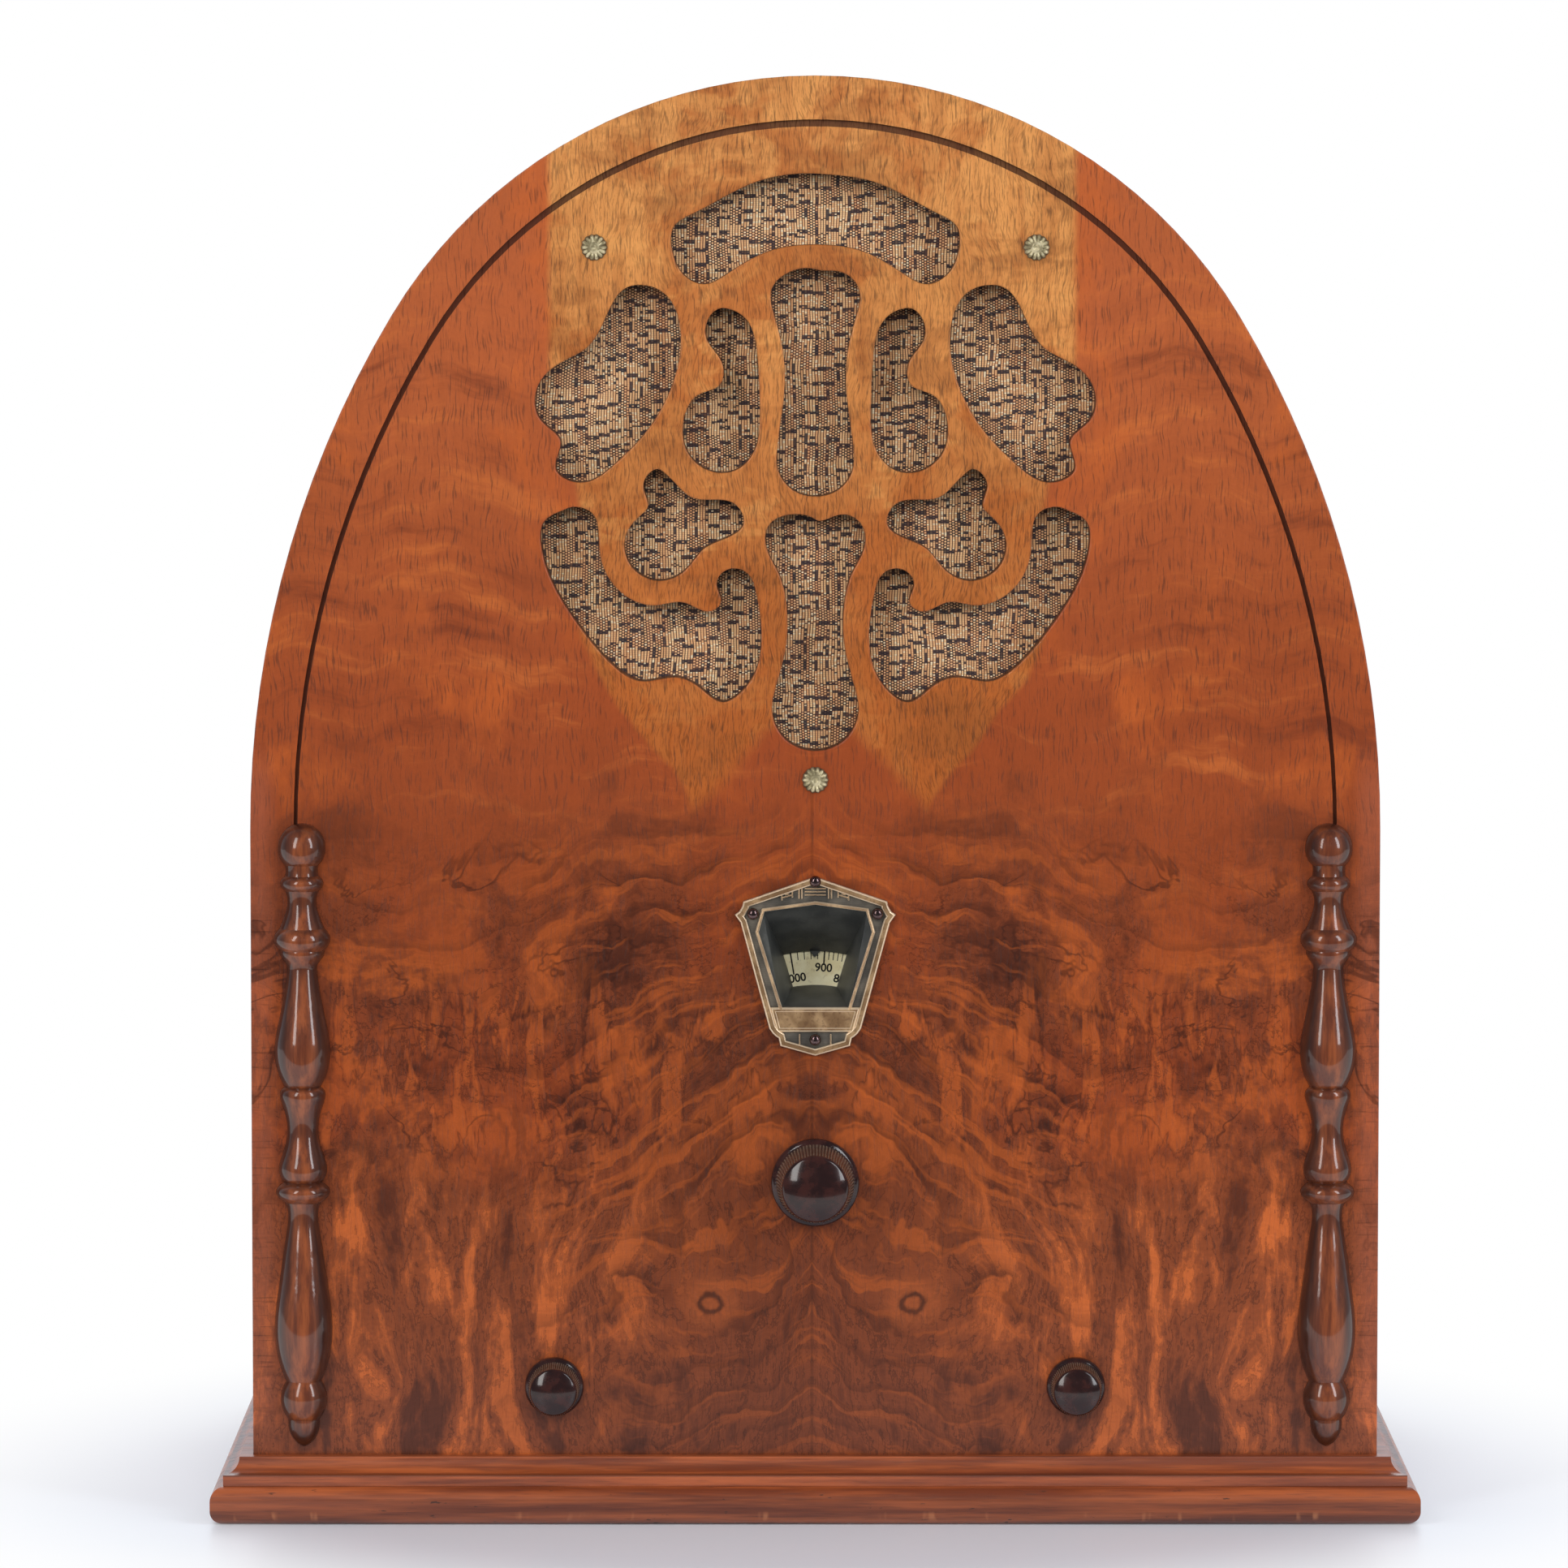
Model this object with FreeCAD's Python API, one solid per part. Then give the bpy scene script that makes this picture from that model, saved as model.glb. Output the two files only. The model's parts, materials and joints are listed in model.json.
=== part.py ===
"""A table-top cathedral radio of about 1931, built as separate pieces.

Frame: millimetres, +Z up, origin at the centre of the base board's underside.
The front of the radio faces -Y, and +X is to the right of someone looking at its front.
"""
import FreeCAD, Part
import math
import os

# --- Driving dimensions -------------------------------------------------------

# Cabinet
CASE_WIDTH = 356.0
CASE_TOP_Z = 456.0
SPRING_Z = 219.0            # height at which the straight sides turn into the arch
SIDE_ARC_R = 313.5          # radius of the haunches, struck from the spring line
SHELL_BACK_Y = 120.0
SHELL_WALL = 8.0
FRONT_Y = -111.0            # front face of the veneered front panel
PANEL_THICK = 11.0
BASE_OVERHANG = 13.0        # base board beyond the case at the front and sides
BASE_THICK = 12.0
BASE_BACK_Y = 124.0
PLINTH_TOP_Z = 20.6
EDGE_ROUND = 0.5            # eased edges of the front panel

# Arch groove in the front panel
GROOVE_INSET = 13.7
GROOVE_WIDTH = 1.2
GROOVE_DEPTH = 1.4
GROOVE_CROWN_DROP = 1.0     # the groove is this much wider at the crown

# Turned split spindles
SPINDLE_X = 161.8
SPINDLE_TOP_Z = 221.3

# Loudspeaker
SPEAKER_Z = 333.0
SPEAKER_FLANGE_R = 104.0
SPEAKER_BOLT_R = 98.0
SPEAKER_HOLE_R = 92.0
BOLT_ANGLES = (45.0, 135.0, 270.0)
CLOTH_THICK = 0.6
BOARD_THICK = 6.0
BOARD_INSET = 20.0
BOARD_LOW_Z = 224.0

# Tuning drive
DIAL_Z = 130.5              # tuning capacitor and dial axis
KNOB_Z = 107.7              # tuning knob axis
DIAL_FRONT_Y = -86.0
DIAL_R = 50.0
DRUM_R = 17.8
WHEEL_R = 4.8               # friction wheel, 0.2 mm short of the drum
SHAFT_R = 3.175             # quarter-inch control shafts
RUNNING_GAP = 0.05

# Small controls
CONTROL_X = 82.5
CONTROL_Z = 42.7

# Chassis
CHASSIS_HALF_X = 155.0
CHASSIS_FRONT_Y = -92.0
CHASSIS_BACK_Y = 100.0
CHASSIS_LOW_Z = 18.0
CHASSIS_TOP_Z = 77.0
SHEET = 1.2
CHASSIS_BOLT_PLACES = ((-143.0, -78.0), (143.0, -78.0), (-143.0, 86.0), (143.0, 86.0))

# Valves: (x, y, largest bulb radius, bulb height)
SCREENED_VALVES = ((-62.0, -52.0, 17.5, 72.0), (-62.0, 4.0, 17.5, 72.0), (-62.0, 60.0, 17.5, 72.0))
OPEN_VALVES = ((62.0, -50.0, 24.0, 92.0), (118.0, -50.0, 24.0, 92.0), (62.0, 4.0, 19.5, 76.0), (26.0, 72.0, 24.0, 92.0))
SPEAKER_PLUG_PLACE = (-18.0, 74.0)
SOCKET_TOP_Z = CHASSIS_TOP_Z + 2.5
VALVE_BASE_R = 16.5
VALVE_BASE_TOP_Z = 111.0
COIL_CAN_PLACES = ((-118.0, -44.0), (-118.0, 14.0))
FILTER_CAN_PLACES = ((-132.0, 70.0), (-102.0, 78.0))
TRANSFORMER_X = 112.0
TRANSFORMER_Y = 54.0

# --- Derived values -----------------------------------------------------------

HALF_WIDTH = CASE_WIDTH / 2
ARCH_RISE = CASE_TOP_Z - SPRING_Z
SIDE_CENTRE_X = SIDE_ARC_R - HALF_WIDTH
CROWN_ARC_R = (SIDE_ARC_R**2 - SIDE_CENTRE_X**2 - ARCH_RISE**2) / (2 * (SIDE_ARC_R - ARCH_RISE))
CROWN_CENTRE_Z = CASE_TOP_Z - CROWN_ARC_R
HAUNCH_ANGLE = math.atan2(CROWN_CENTRE_Z - SPRING_Z, SIDE_CENTRE_X)
PANEL_BACK_Y = FRONT_Y + PANEL_THICK
CLOTH_BACK_Y = PANEL_BACK_Y + CLOTH_THICK
BOARD_BACK_Y = CLOTH_BACK_Y + BOARD_THICK
DRUM_FRONT_Y = DIAL_FRONT_Y - 7.5
FUNNEL_BACK_Y = DIAL_FRONT_Y - 1.0

# --- Grille outlines: (x, z) points of smooth closed curves -------------------

# Openings on the centre line, given as their left halves from top to bottom.
TOP_ARCH = ((0, 425.3), (-20, 422.2), (-38, 413), (-44.5, 408.5), (-45, 402), (-41, 393.5),
            (-35, 390.8), (-28, 393.8), (-15, 401), (0, 403.2))
UPPER_SPOOL = ((0, 395.4), (-8, 394.6), (-13.6, 389.5), (-12.6, 380), (-10, 369), (-9.8, 356),
               (-11.8, 341), (-11.5, 332), (-7, 326.2), (0, 324.2))
LOWER_SPOOL = ((0, 317), (-8, 318.5), (-14.7, 315), (-15.3, 308), (-11.6, 300.3), (-8.9, 288.8),
               (-9.2, 277), (-12.2, 265), (-13.5, 256), (-9.4, 247.8), (0, 244.1))
# Openings that occur on both sides, given on the left.
OUTER_LEAF = ((-55, 390.5), (-46, 386.5), (-42.2, 374), (-45, 359), (-52, 346), (-64, 333.5),
              (-74, 328.6), (-81.5, 333), (-80, 341.5), (-86, 348), (-87, 359), (-81, 365.5),
              (-71.5, 371), (-65, 382), (-60.5, 388.8))
INNER_COMMA = ((-28, 383.2), (-21.5, 379.5), (-18, 366), (-17.4, 352), (-19.5, 338), (-25, 332.5),
               (-33, 332.2), (-40, 338), (-41.5, 347), (-36.5, 356.2), (-30.2, 359), (-29.2, 366),
               (-34, 373.5), (-33.5, 380))
TREFOIL = ((-48.5, 332.5), (-44, 328.4), (-38.8, 323.9), (-31.2, 323.2), (-25, 321.6),
           (-22.6, 315.6), (-27, 311.6), (-35, 307.8), (-41, 301), (-49, 297.7), (-57.5, 301.9),
           (-60, 309), (-56, 317.2), (-52.6, 321), (-53.8, 328.8))
LOWER_WING = ((-74.1, 320.8), (-69.1, 317.5), (-68, 309.4), (-66, 300.5), (-59, 292.5),
              (-49.4, 290), (-41.6, 290.9), (-32.5, 288.2), (-29.6, 291), (-31, 296.5),
              (-28, 301), (-22, 300.5), (-18.4, 293), (-17, 283), (-18.5, 270), (-23.5, 262.5),
              (-29, 259.5), (-36, 263.8), (-44, 267.3), (-55, 266.1), (-63.1, 270.6),
              (-72, 280.5), (-80.5, 293), (-86, 308), (-85, 316.5), (-79, 320))

# Spindle profile: runs of (radius, distance below the top) that meet at crisp edges.
SPINDLE_RUNS = (
    ((0, 0), (5.0, 1.9), (7.5, 6.8), (5.3, 13.2)),
    ((5.3, 13.2), (5.1, 15.0), (5.3, 16.6)),
    ((5.3, 16.6), (6.9, 19.0), (5.4, 21.3)),
    ((5.4, 21.3), (4.6, 25.4), (5.8, 30.0), (7.1, 33.2)),
    ((7.1, 33.2), (9.0, 36.8), (7.0, 40.2)),
    ((7.0, 40.2), (6.8, 42.0), (5.4, 44.0), (4.7, 46.0)),
    ((4.7, 46.0), (5.8, 54.0), (7.6, 63.0), (8.9, 71.4), (8.1, 78.0), (6.2, 82.6)),
    ((6.2, 82.6), (5.7, 83.4)),
    ((5.7, 83.4), (7.2, 85.2), (6.4, 89.5), (4.9, 97.0), (6.2, 104.0), (7.7, 109.5), (6.7, 112.8)),
    ((6.7, 112.8), (5.9, 113.6)),
    ((5.9, 113.6), (8.6, 116.6), (5.6, 120.2)),
    ((5.6, 120.2), (5.0, 122.0), (5.4, 130.0), (7.6, 145.0), (9.2, 160.4), (8.0, 170.5), (5.6, 177.0)),
    ((5.6, 177.0), (7.4, 182.4), (5.0, 189.2)),
    ((5.0, 189.2), (4.9, 192.0), (3.2, 195.8), (0, 198.0)),
)

# --- Helpers ------------------------------------------------------------------


def box(x0, x1, y0, y1, z0, z1):
    """Block between two opposite corners."""
    corner = FreeCAD.Vector(x0, y0, z0)
    return Part.makeBox(x1 - x0, y1 - y0, z1 - z0, corner)


def rod_y(r, y0, y1, x=0.0, z=0.0):
    """Cylinder that runs from front to back."""
    return Part.makeCylinder(r, y1 - y0, FreeCAD.Vector(x, y0, z), FreeCAD.Vector(0, 1, 0))


def rod_z(r, z0, z1, x=0.0, y=0.0):
    """Upright cylinder."""
    return Part.makeCylinder(r, z1 - z0, FreeCAD.Vector(x, y, z0))


def closed_wire(points):
    """Straight-sided closed outline."""
    return Part.makePolygon(list(points) + [points[0]])


def turned_y(profile, x=0.0, z=0.0, angle=360.0):
    """Solid turned about a front-to-back axis from (radius, y) corners."""
    wire = closed_wire([FreeCAD.Vector(x + r, y, z) for r, y in profile])
    return Part.Face(wire).revolve(FreeCAD.Vector(x, 0, z), FreeCAD.Vector(0, 1, 0), angle)


def turned_z(profile, x=0.0, y=0.0):
    """Solid turned about an upright axis from (radius, z) corners."""
    wire = closed_wire([FreeCAD.Vector(x + r, y, z) for r, z in profile])
    return Part.Face(wire).revolve(FreeCAD.Vector(x, y, 0), FreeCAD.Vector(0, 0, 1), 360)


def front_prism(points, y0, y1):
    """Straight-sided (x, z) outline pushed from y0 back to y1."""
    wire = closed_wire([FreeCAD.Vector(x, y0, z) for x, z in points])
    return Part.Face(wire).extrude(FreeCAD.Vector(0, y1 - y0, 0))


def spline(points):
    """Edge through points: straight for two, smooth for more."""
    if len(points) == 2:
        return Part.LineSegment(*points).toShape()
    curve = Part.BSplineCurve()
    curve.interpolate(points)
    return curve.toShape()


def smooth_prism(points, y0, y1):
    """Smooth closed (x, z) outline pushed from y0 back to y1."""
    curve = Part.BSplineCurve()
    curve.interpolate([FreeCAD.Vector(x, y0, z) for x, z in points], PeriodicFlag=True)
    face = Part.Face(Part.Wire(curve.toShape()))
    return face.extrude(FreeCAD.Vector(0, y1 - y0, 0))


def mirrored(points):
    """The same outline on the other side of the centre line."""
    return [(-x, z) for x, z in points]


def whole(half):
    """Closed outline from its left half, which starts and ends on the centre line."""
    return list(half) + mirrored(half[1:-1])[::-1]


def both_sides(shape):
    """A shape and its mirror image across the centre plane."""
    return [shape, shape.mirror(FreeCAD.Vector(0, 0, 0), FreeCAD.Vector(1, 0, 0))]


def arch_face(inset, low_z, y, drop=0.0):
    """Cathedral outline, moved in from the case's edge and down by drop."""
    side_r = SIDE_ARC_R - inset
    crown_r = CROWN_ARC_R - inset
    half = HALF_WIDTH - inset

    def side_point(angle):
        x = -SIDE_CENTRE_X + side_r * math.cos(angle)
        return FreeCAD.Vector(x, y, SPRING_Z - drop + side_r * math.sin(angle))

    def flipped(point):
        return FreeCAD.Vector(-point.x, point.y, point.z)

    spring = FreeCAD.Vector(half, y, SPRING_Z - drop)
    mid = side_point(HAUNCH_ANGLE / 2)
    haunch = side_point(HAUNCH_ANGLE)
    crown = FreeCAD.Vector(0, y, CROWN_CENTRE_Z + crown_r - drop)
    foot = FreeCAD.Vector(half, y, low_z)
    edges = [
        Part.LineSegment(foot, spring),
        Part.Arc(spring, mid, haunch),
        Part.Arc(haunch, crown, flipped(haunch)),
        Part.Arc(flipped(haunch), flipped(mid), flipped(spring)),
        Part.LineSegment(flipped(spring), flipped(foot)),
        Part.LineSegment(flipped(foot), foot),
    ]
    return Part.Face(Part.Wire([edge.toShape() for edge in edges]))


def arch_prism(inset, low_z, y0, y1, drop=0.0):
    """Cathedral outline pushed from y0 back to y1."""
    return arch_face(inset, low_z, y0, drop).extrude(FreeCAD.Vector(0, y1 - y0, 0))


def bolt_places():
    """(x, z) of the loudspeaker's bolts."""
    places = []
    for degrees in BOLT_ANGLES:
        angle = math.radians(degrees)
        places.append((SPEAKER_BOLT_R * math.cos(angle), SPEAKER_Z + SPEAKER_BOLT_R * math.sin(angle)))
    return places


def cut_all(shape, tools):
    """Takes every tool out of a shape."""
    return shape.cut(Part.makeCompound(list(tools)))


def rounded_path(points, share=0.45):
    """Straight runs joined by tangent arcs, each as large as its two runs allow."""
    edges = []
    start = points[0]
    for before, corner, after in zip(points, points[1:], points[2:]):
        back = before - corner
        ahead = after - corner
        trim = share * min(back.Length, ahead.Length)
        turn = math.pi - back.getAngle(ahead)
        radius = trim / math.tan(turn / 2)
        back.normalize()
        ahead.normalize()
        enter = corner + back * trim
        leave = corner + ahead * trim
        middle = (back + ahead).normalize()
        to_centre = radius / math.cos(turn / 2)
        crest = corner + middle * (to_centre - radius)
        edges.append(Part.LineSegment(start, enter).toShape())
        edges.append(Part.Arc(enter, crest, leave).toShape())
        print("bend radius %.1f" % radius)
        start = leave
    edges.append(Part.LineSegment(start, points[-1]).toShape())
    return Part.Wire(edges)


def lead(points, r):
    """Round cable along a rounded path."""
    path = rounded_path([FreeCAD.Vector(*point) for point in points])
    first = path.Edges[0]
    ring = Part.makeCircle(r, first.valueAt(first.FirstParameter), first.tangentAt(first.FirstParameter))
    return path.makePipeShell([Part.Wire(ring)], True, False)


# --- Cabinet ------------------------------------------------------------------


def base_board():
    """Bull-nosed board under the whole radio, drilled for the chassis bolts."""
    half = HALF_WIDTH + BASE_OVERHANG
    board = box(-half, half, FRONT_Y - BASE_OVERHANG, BASE_BACK_Y, 0, BASE_THICK)
    nose_r = 4.5

    def is_nose(edge):
        spans_y = edge.BoundBox.YLength > 1
        at_front = edge.BoundBox.YMax < FRONT_Y
        level = edge.BoundBox.ZLength < 0.01
        return level and (spans_y or at_front)

    board = board.makeFillet(nose_r, [edge for edge in board.Edges if is_nose(edge)])
    holes = []
    for x, y in CHASSIS_BOLT_PLACES:
        holes.append(rod_z(3.4, -1, BASE_THICK + 1, x, y))
        holes.append(rod_z(9.0, -1, 6.0, x, y))
    return cut_all(board, holes)


def plinth_profile(run):
    """Cove moulding section as (distance out from the case, z), mapped to space by run."""
    cove_r = 4.8
    ledge = 4.1
    out = 9.0
    step_z = 15.4
    rim_z = step_z + cove_r
    inner = -cove_r * math.sqrt(0.5)
    arc = Part.Arc(run(ledge, rim_z), run(out + inner, rim_z + inner), run(out, step_z))
    edges = [
        Part.LineSegment(run(0, BASE_THICK), run(0, PLINTH_TOP_Z)),
        Part.LineSegment(run(0, PLINTH_TOP_Z), run(ledge, PLINTH_TOP_Z)),
        Part.LineSegment(run(ledge, PLINTH_TOP_Z), run(ledge, rim_z)),
        arc,
        Part.LineSegment(run(out, step_z), run(out, BASE_THICK)),
        Part.LineSegment(run(out, BASE_THICK), run(0, BASE_THICK)),
    ]
    return Part.Face(Part.Wire([edge.toShape() for edge in edges]))


def plinth_moulding():
    """Three mitred strips around the foot of the case."""
    reach = 20.0
    half = HALF_WIDTH + reach

    def in_front(out, z):
        return FreeCAD.Vector(-half, FRONT_Y - out, z)

    def at_side(out, z):
        return FreeCAD.Vector(HALF_WIDTH + out, FRONT_Y - reach, z)

    front = plinth_profile(in_front).extrude(FreeCAD.Vector(2 * half, 0, 0))
    side = plinth_profile(at_side).extrude(FreeCAD.Vector(0, SHELL_BACK_Y - FRONT_Y + reach, 0))
    plan = [(-half, FRONT_Y - reach), (half, FRONT_Y - reach), (HALF_WIDTH, FRONT_Y), (-HALF_WIDTH, FRONT_Y)]
    wire = closed_wire([FreeCAD.Vector(x, y, 0) for x, y in plan])
    mitre = Part.Face(wire).extrude(FreeCAD.Vector(0, 0, PLINTH_TOP_Z + 1))
    return Part.makeCompound([front.common(mitre)] + both_sides(side.cut(mitre)))


def grille_openings(y0, y1):
    """Every sawn opening of the grille."""
    tools = [smooth_prism(whole(half), y0, y1) for half in (TOP_ARCH, UPPER_SPOOL, LOWER_SPOOL)]
    for outline in (OUTER_LEAF, INNER_COMMA, TREFOIL, LOWER_WING):
        tools.append(smooth_prism(outline, y0, y1))
        tools.append(smooth_prism(mirrored(outline), y0, y1))
    return tools


def arch_groove():
    """Narrow groove that follows the arch between the spindle tops."""
    low_z = SPINDLE_TOP_Z - 3.0
    outer = arch_prism(GROOVE_INSET, low_z, FRONT_Y - 1, FRONT_Y + GROOVE_DEPTH)
    inner = arch_prism(GROOVE_INSET + GROOVE_WIDTH, 0, FRONT_Y - 1, FRONT_Y + GROOVE_DEPTH, GROOVE_CROWN_DROP)
    return outer.cut(inner)


def funnel_cutout():
    """Hole behind the escutcheon that the dial mask stands in."""
    outline = [(-18.6, 196.9), (18.6, 196.9), (12.5, 160.4), (-12.5, 160.4)]
    return front_prism(outline, FRONT_Y - 1, PANEL_BACK_Y + 1)


def front_panel():
    """Veneered front with its grille, groove and holes, edges eased."""
    panel = arch_prism(0, BASE_THICK, FRONT_Y, PANEL_BACK_Y)
    panel = cut_all(panel, grille_openings(FRONT_Y - 1, PANEL_BACK_Y + 1))

    def is_eased(edge):
        return edge.BoundBox.YMax < FRONT_Y + 0.01 and edge.BoundBox.ZMax > BASE_THICK + 1

    panel = panel.makeFillet(EDGE_ROUND, [edge for edge in panel.Edges if is_eased(edge)])
    holes = [arch_groove(), funnel_cutout()]
    holes.append(rod_y(5.0, FRONT_Y - 1, PANEL_BACK_Y + 1, 0, KNOB_Z))
    for x in (-CONTROL_X, CONTROL_X):
        holes.append(rod_y(5.0, FRONT_Y - 1, PANEL_BACK_Y + 1, x, CONTROL_Z))
    for x, z in bolt_places():
        holes.append(rod_y(2.1, FRONT_Y - 1, PANEL_BACK_Y + 1, x, z))
    return cut_all(panel, holes)


def arch_shell():
    """Bent plywood sides and top, open at the front and back."""
    outer = arch_prism(0, BASE_THICK, PANEL_BACK_Y, SHELL_BACK_Y)
    inner = arch_prism(SHELL_WALL, 0, PANEL_BACK_Y - 1, SHELL_BACK_Y + 1)
    return outer.cut(inner)


def spindle(x):
    """Turned spindle split in half and glued to the front panel."""

    def placed(r, below):
        return FreeCAD.Vector(x + r, FRONT_Y, SPINDLE_TOP_Z - below)

    edges = [spline([placed(r, below) for r, below in run]) for run in SPINDLE_RUNS]
    edges.append(Part.LineSegment(placed(*SPINDLE_RUNS[-1][-1]), placed(0, 0)).toShape())
    face = Part.Face(Part.Wire(edges))
    return face.revolve(FreeCAD.Vector(x, FRONT_Y, 0), FreeCAD.Vector(0, 0, -1), 180)


def glue_blocks():
    """Three-cornered blocks that hold the sides to the base board."""
    wall_x = HALF_WIDTH - SHELL_WALL
    leg = 11.0
    blocks = []
    for y0, y1 in ((-96.0, -56.0), (-20.0, 20.0), (60.0, 100.0)):
        corner = [(wall_x, BASE_THICK), (wall_x - leg, BASE_THICK), (wall_x, BASE_THICK + leg)]
        blocks.extend(both_sides(front_prism(corner, y0, y1)))
    return Part.makeCompound(blocks)


def grille_cloth():
    """Woven cloth stretched behind the grille."""
    half = 112.0
    cloth = box(-half, half, PANEL_BACK_Y, CLOTH_BACK_Y, BOARD_LOW_Z + 2, 420)
    top = front_prism([(-half, 420), (half, 420), (52, 438), (-52, 438)], PANEL_BACK_Y, CLOTH_BACK_Y)
    cloth = cloth.fuse(top).removeSplitter()
    cloth = cloth.common(arch_prism(BOARD_INSET, 0, PANEL_BACK_Y, CLOTH_BACK_Y))
    return cut_all(cloth, [rod_y(2.1, PANEL_BACK_Y - 1, CLOTH_BACK_Y + 1, x, z) for x, z in bolt_places()])


def speaker_board():
    """Plywood baffle behind the cloth."""
    board = arch_prism(BOARD_INSET, 0, CLOTH_BACK_Y, BOARD_BACK_Y)
    board = board.cut(box(-HALF_WIDTH, HALF_WIDTH, CLOTH_BACK_Y - 1, BOARD_BACK_Y + 1, -1, BOARD_LOW_Z))
    holes = [rod_y(SPEAKER_HOLE_R, CLOTH_BACK_Y - 1, BOARD_BACK_Y + 1, 0, SPEAKER_Z)]
    holes.extend(rod_y(2.1, CLOTH_BACK_Y - 1, BOARD_BACK_Y + 1, x, z) for x, z in bolt_places())
    return cut_all(board, holes)


# --- Escutcheon and dial mask -------------------------------------------------

# Right half of the plate from apex to foot, and the window's right half.
PLATE_HALF = ((0, 204.5), (22.7, 196.7), (23.0, 195.2), (25.4, 192.5), (23.6, 190.0), (18.2, 170.0),
              (14.5, 156.4), (13.4, 154.8), (11.6, 153.4), (11.0, 150.9), (0, 147.8))
WINDOW_HALF = ((0, 195.7), (16.0, 193.5), (17.8, 187.0), (10.3, 162.7), (0, 162.7))
PIN_PLACES = ((0, 203.0), (-19.6, 192.8), (19.6, 192.8), (0, 152.0))


def left_of(half):
    """Closed outline from its right half."""
    return list(half) + mirrored(half[1:-1])[::-1]


def scaled_outline(points, centre_z, factor):
    """An outline shrunk or grown about a point on the centre line."""
    return [(x * factor, centre_z + (z - centre_z) * factor) for x, z in points]


def escutcheon():
    """Cast frame around the dial window, with a raised border."""
    plate_y = FRONT_Y - 1.0
    border_y = FRONT_Y - 2.2
    middle_z = 176.0
    outline = left_of(PLATE_HALF)
    window = left_of(WINDOW_HALF)
    plate = front_prism(outline, plate_y, FRONT_Y)
    border = front_prism(outline, border_y, plate_y)
    border = border.cut(front_prism(scaled_outline(outline, middle_z, 0.92), border_y - 1, plate_y + 1))
    bead = front_prism(scaled_outline(window, middle_z, 1.08), border_y, plate_y)
    body = plate.fuse([border, bead])
    body = body.cut(front_prism(window, border_y - 1, FRONT_Y + 1))
    holes = [rod_y(0.9, border_y - 1, FRONT_Y + 1, x, z) for x, z in PIN_PLACES]
    return cut_all(body, holes).removeSplitter()


def escutcheon_pins():
    """Four round-headed pins that hold the escutcheon."""
    pins = []
    for x, z in PIN_PLACES:
        head = [(0, FRONT_Y - 3.6), (1.0, FRONT_Y - 3.4), (1.8, FRONT_Y - 2.2), (0.9, FRONT_Y - 2.2),
                (0.9, FRONT_Y), (0, FRONT_Y)]
        pins.append(turned_y(head, x, z))
    return Part.makeCompound(pins)


def mask_wire(y, top_z, bottom_z, top_x, bottom_x, top_rise, bottom_rise):
    """Keystone outline with bowed top and bottom."""
    top_left = FreeCAD.Vector(-top_x, y, top_z)
    top_right = FreeCAD.Vector(top_x, y, top_z)
    foot_left = FreeCAD.Vector(-bottom_x, y, bottom_z)
    foot_right = FreeCAD.Vector(bottom_x, y, bottom_z)
    edges = [
        Part.Arc(top_left, FreeCAD.Vector(0, y, top_z + top_rise), top_right),
        Part.LineSegment(top_right, foot_right),
        Part.Arc(foot_right, FreeCAD.Vector(0, y, bottom_z + bottom_rise), foot_left),
        Part.LineSegment(foot_left, top_left),
    ]
    return Part.Wire([edge.toShape() for edge in edges])


def dial_funnel():
    """Black tapered mask between the escutcheon and the dial, with its pointer."""
    wall = 0.8

    def funnel(grow):
        front = mask_wire(FRONT_Y, 193.8 + grow, 162.0 - grow, 16.6 + grow, 10.8 + grow, 1.6, 0.4)
        back = mask_wire(FUNNEL_BACK_Y, 177.4 + grow, 167.1 - grow, 10.1 + grow, 7.0 + grow, 1.1, 0.6)
        return Part.makeLoft([front, back], True, True)

    body = funnel(wall).cut(funnel(0))
    tip_z = 176.6
    pointer = front_prism([(-1.7, 178.6), (1.7, 178.6), (0, tip_z)], FUNNEL_BACK_Y - wall, FUNNEL_BACK_Y)
    return body.fuse(pointer)


# --- Loudspeaker --------------------------------------------------------------


def speaker_bolts():
    """Three bolts with small domed ornamental heads on the front panel."""
    bolts = []
    head_r = 4.2
    for x, z in bolt_places():
        profile = [(0, FRONT_Y - 1.9), (1.6, FRONT_Y - 1.9), (3.4, FRONT_Y - 1.3), (head_r, FRONT_Y),
                   (2.0, FRONT_Y), (2.0, BOARD_BACK_Y + 7.0), (0, BOARD_BACK_Y + 7.0)]
        bolts.append(turned_y(profile, x, z))
    return Part.makeCompound(bolts)


def speaker_nuts():
    """Hexagon nuts on the loudspeaker's bolts."""
    nuts = []
    y0 = BOARD_BACK_Y + 1.5
    for x, z in bolt_places():
        corners = []
        for k in range(6):
            angle = math.radians(60 * k)
            corners.append((x + 4.0 * math.cos(angle), z + 4.0 * math.sin(angle)))
        nuts.append(front_prism(corners, y0, y0 + 3.0).cut(rod_y(2.0, y0 - 1, y0 + 4, x, z)))
    return Part.makeCompound(nuts)


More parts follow.
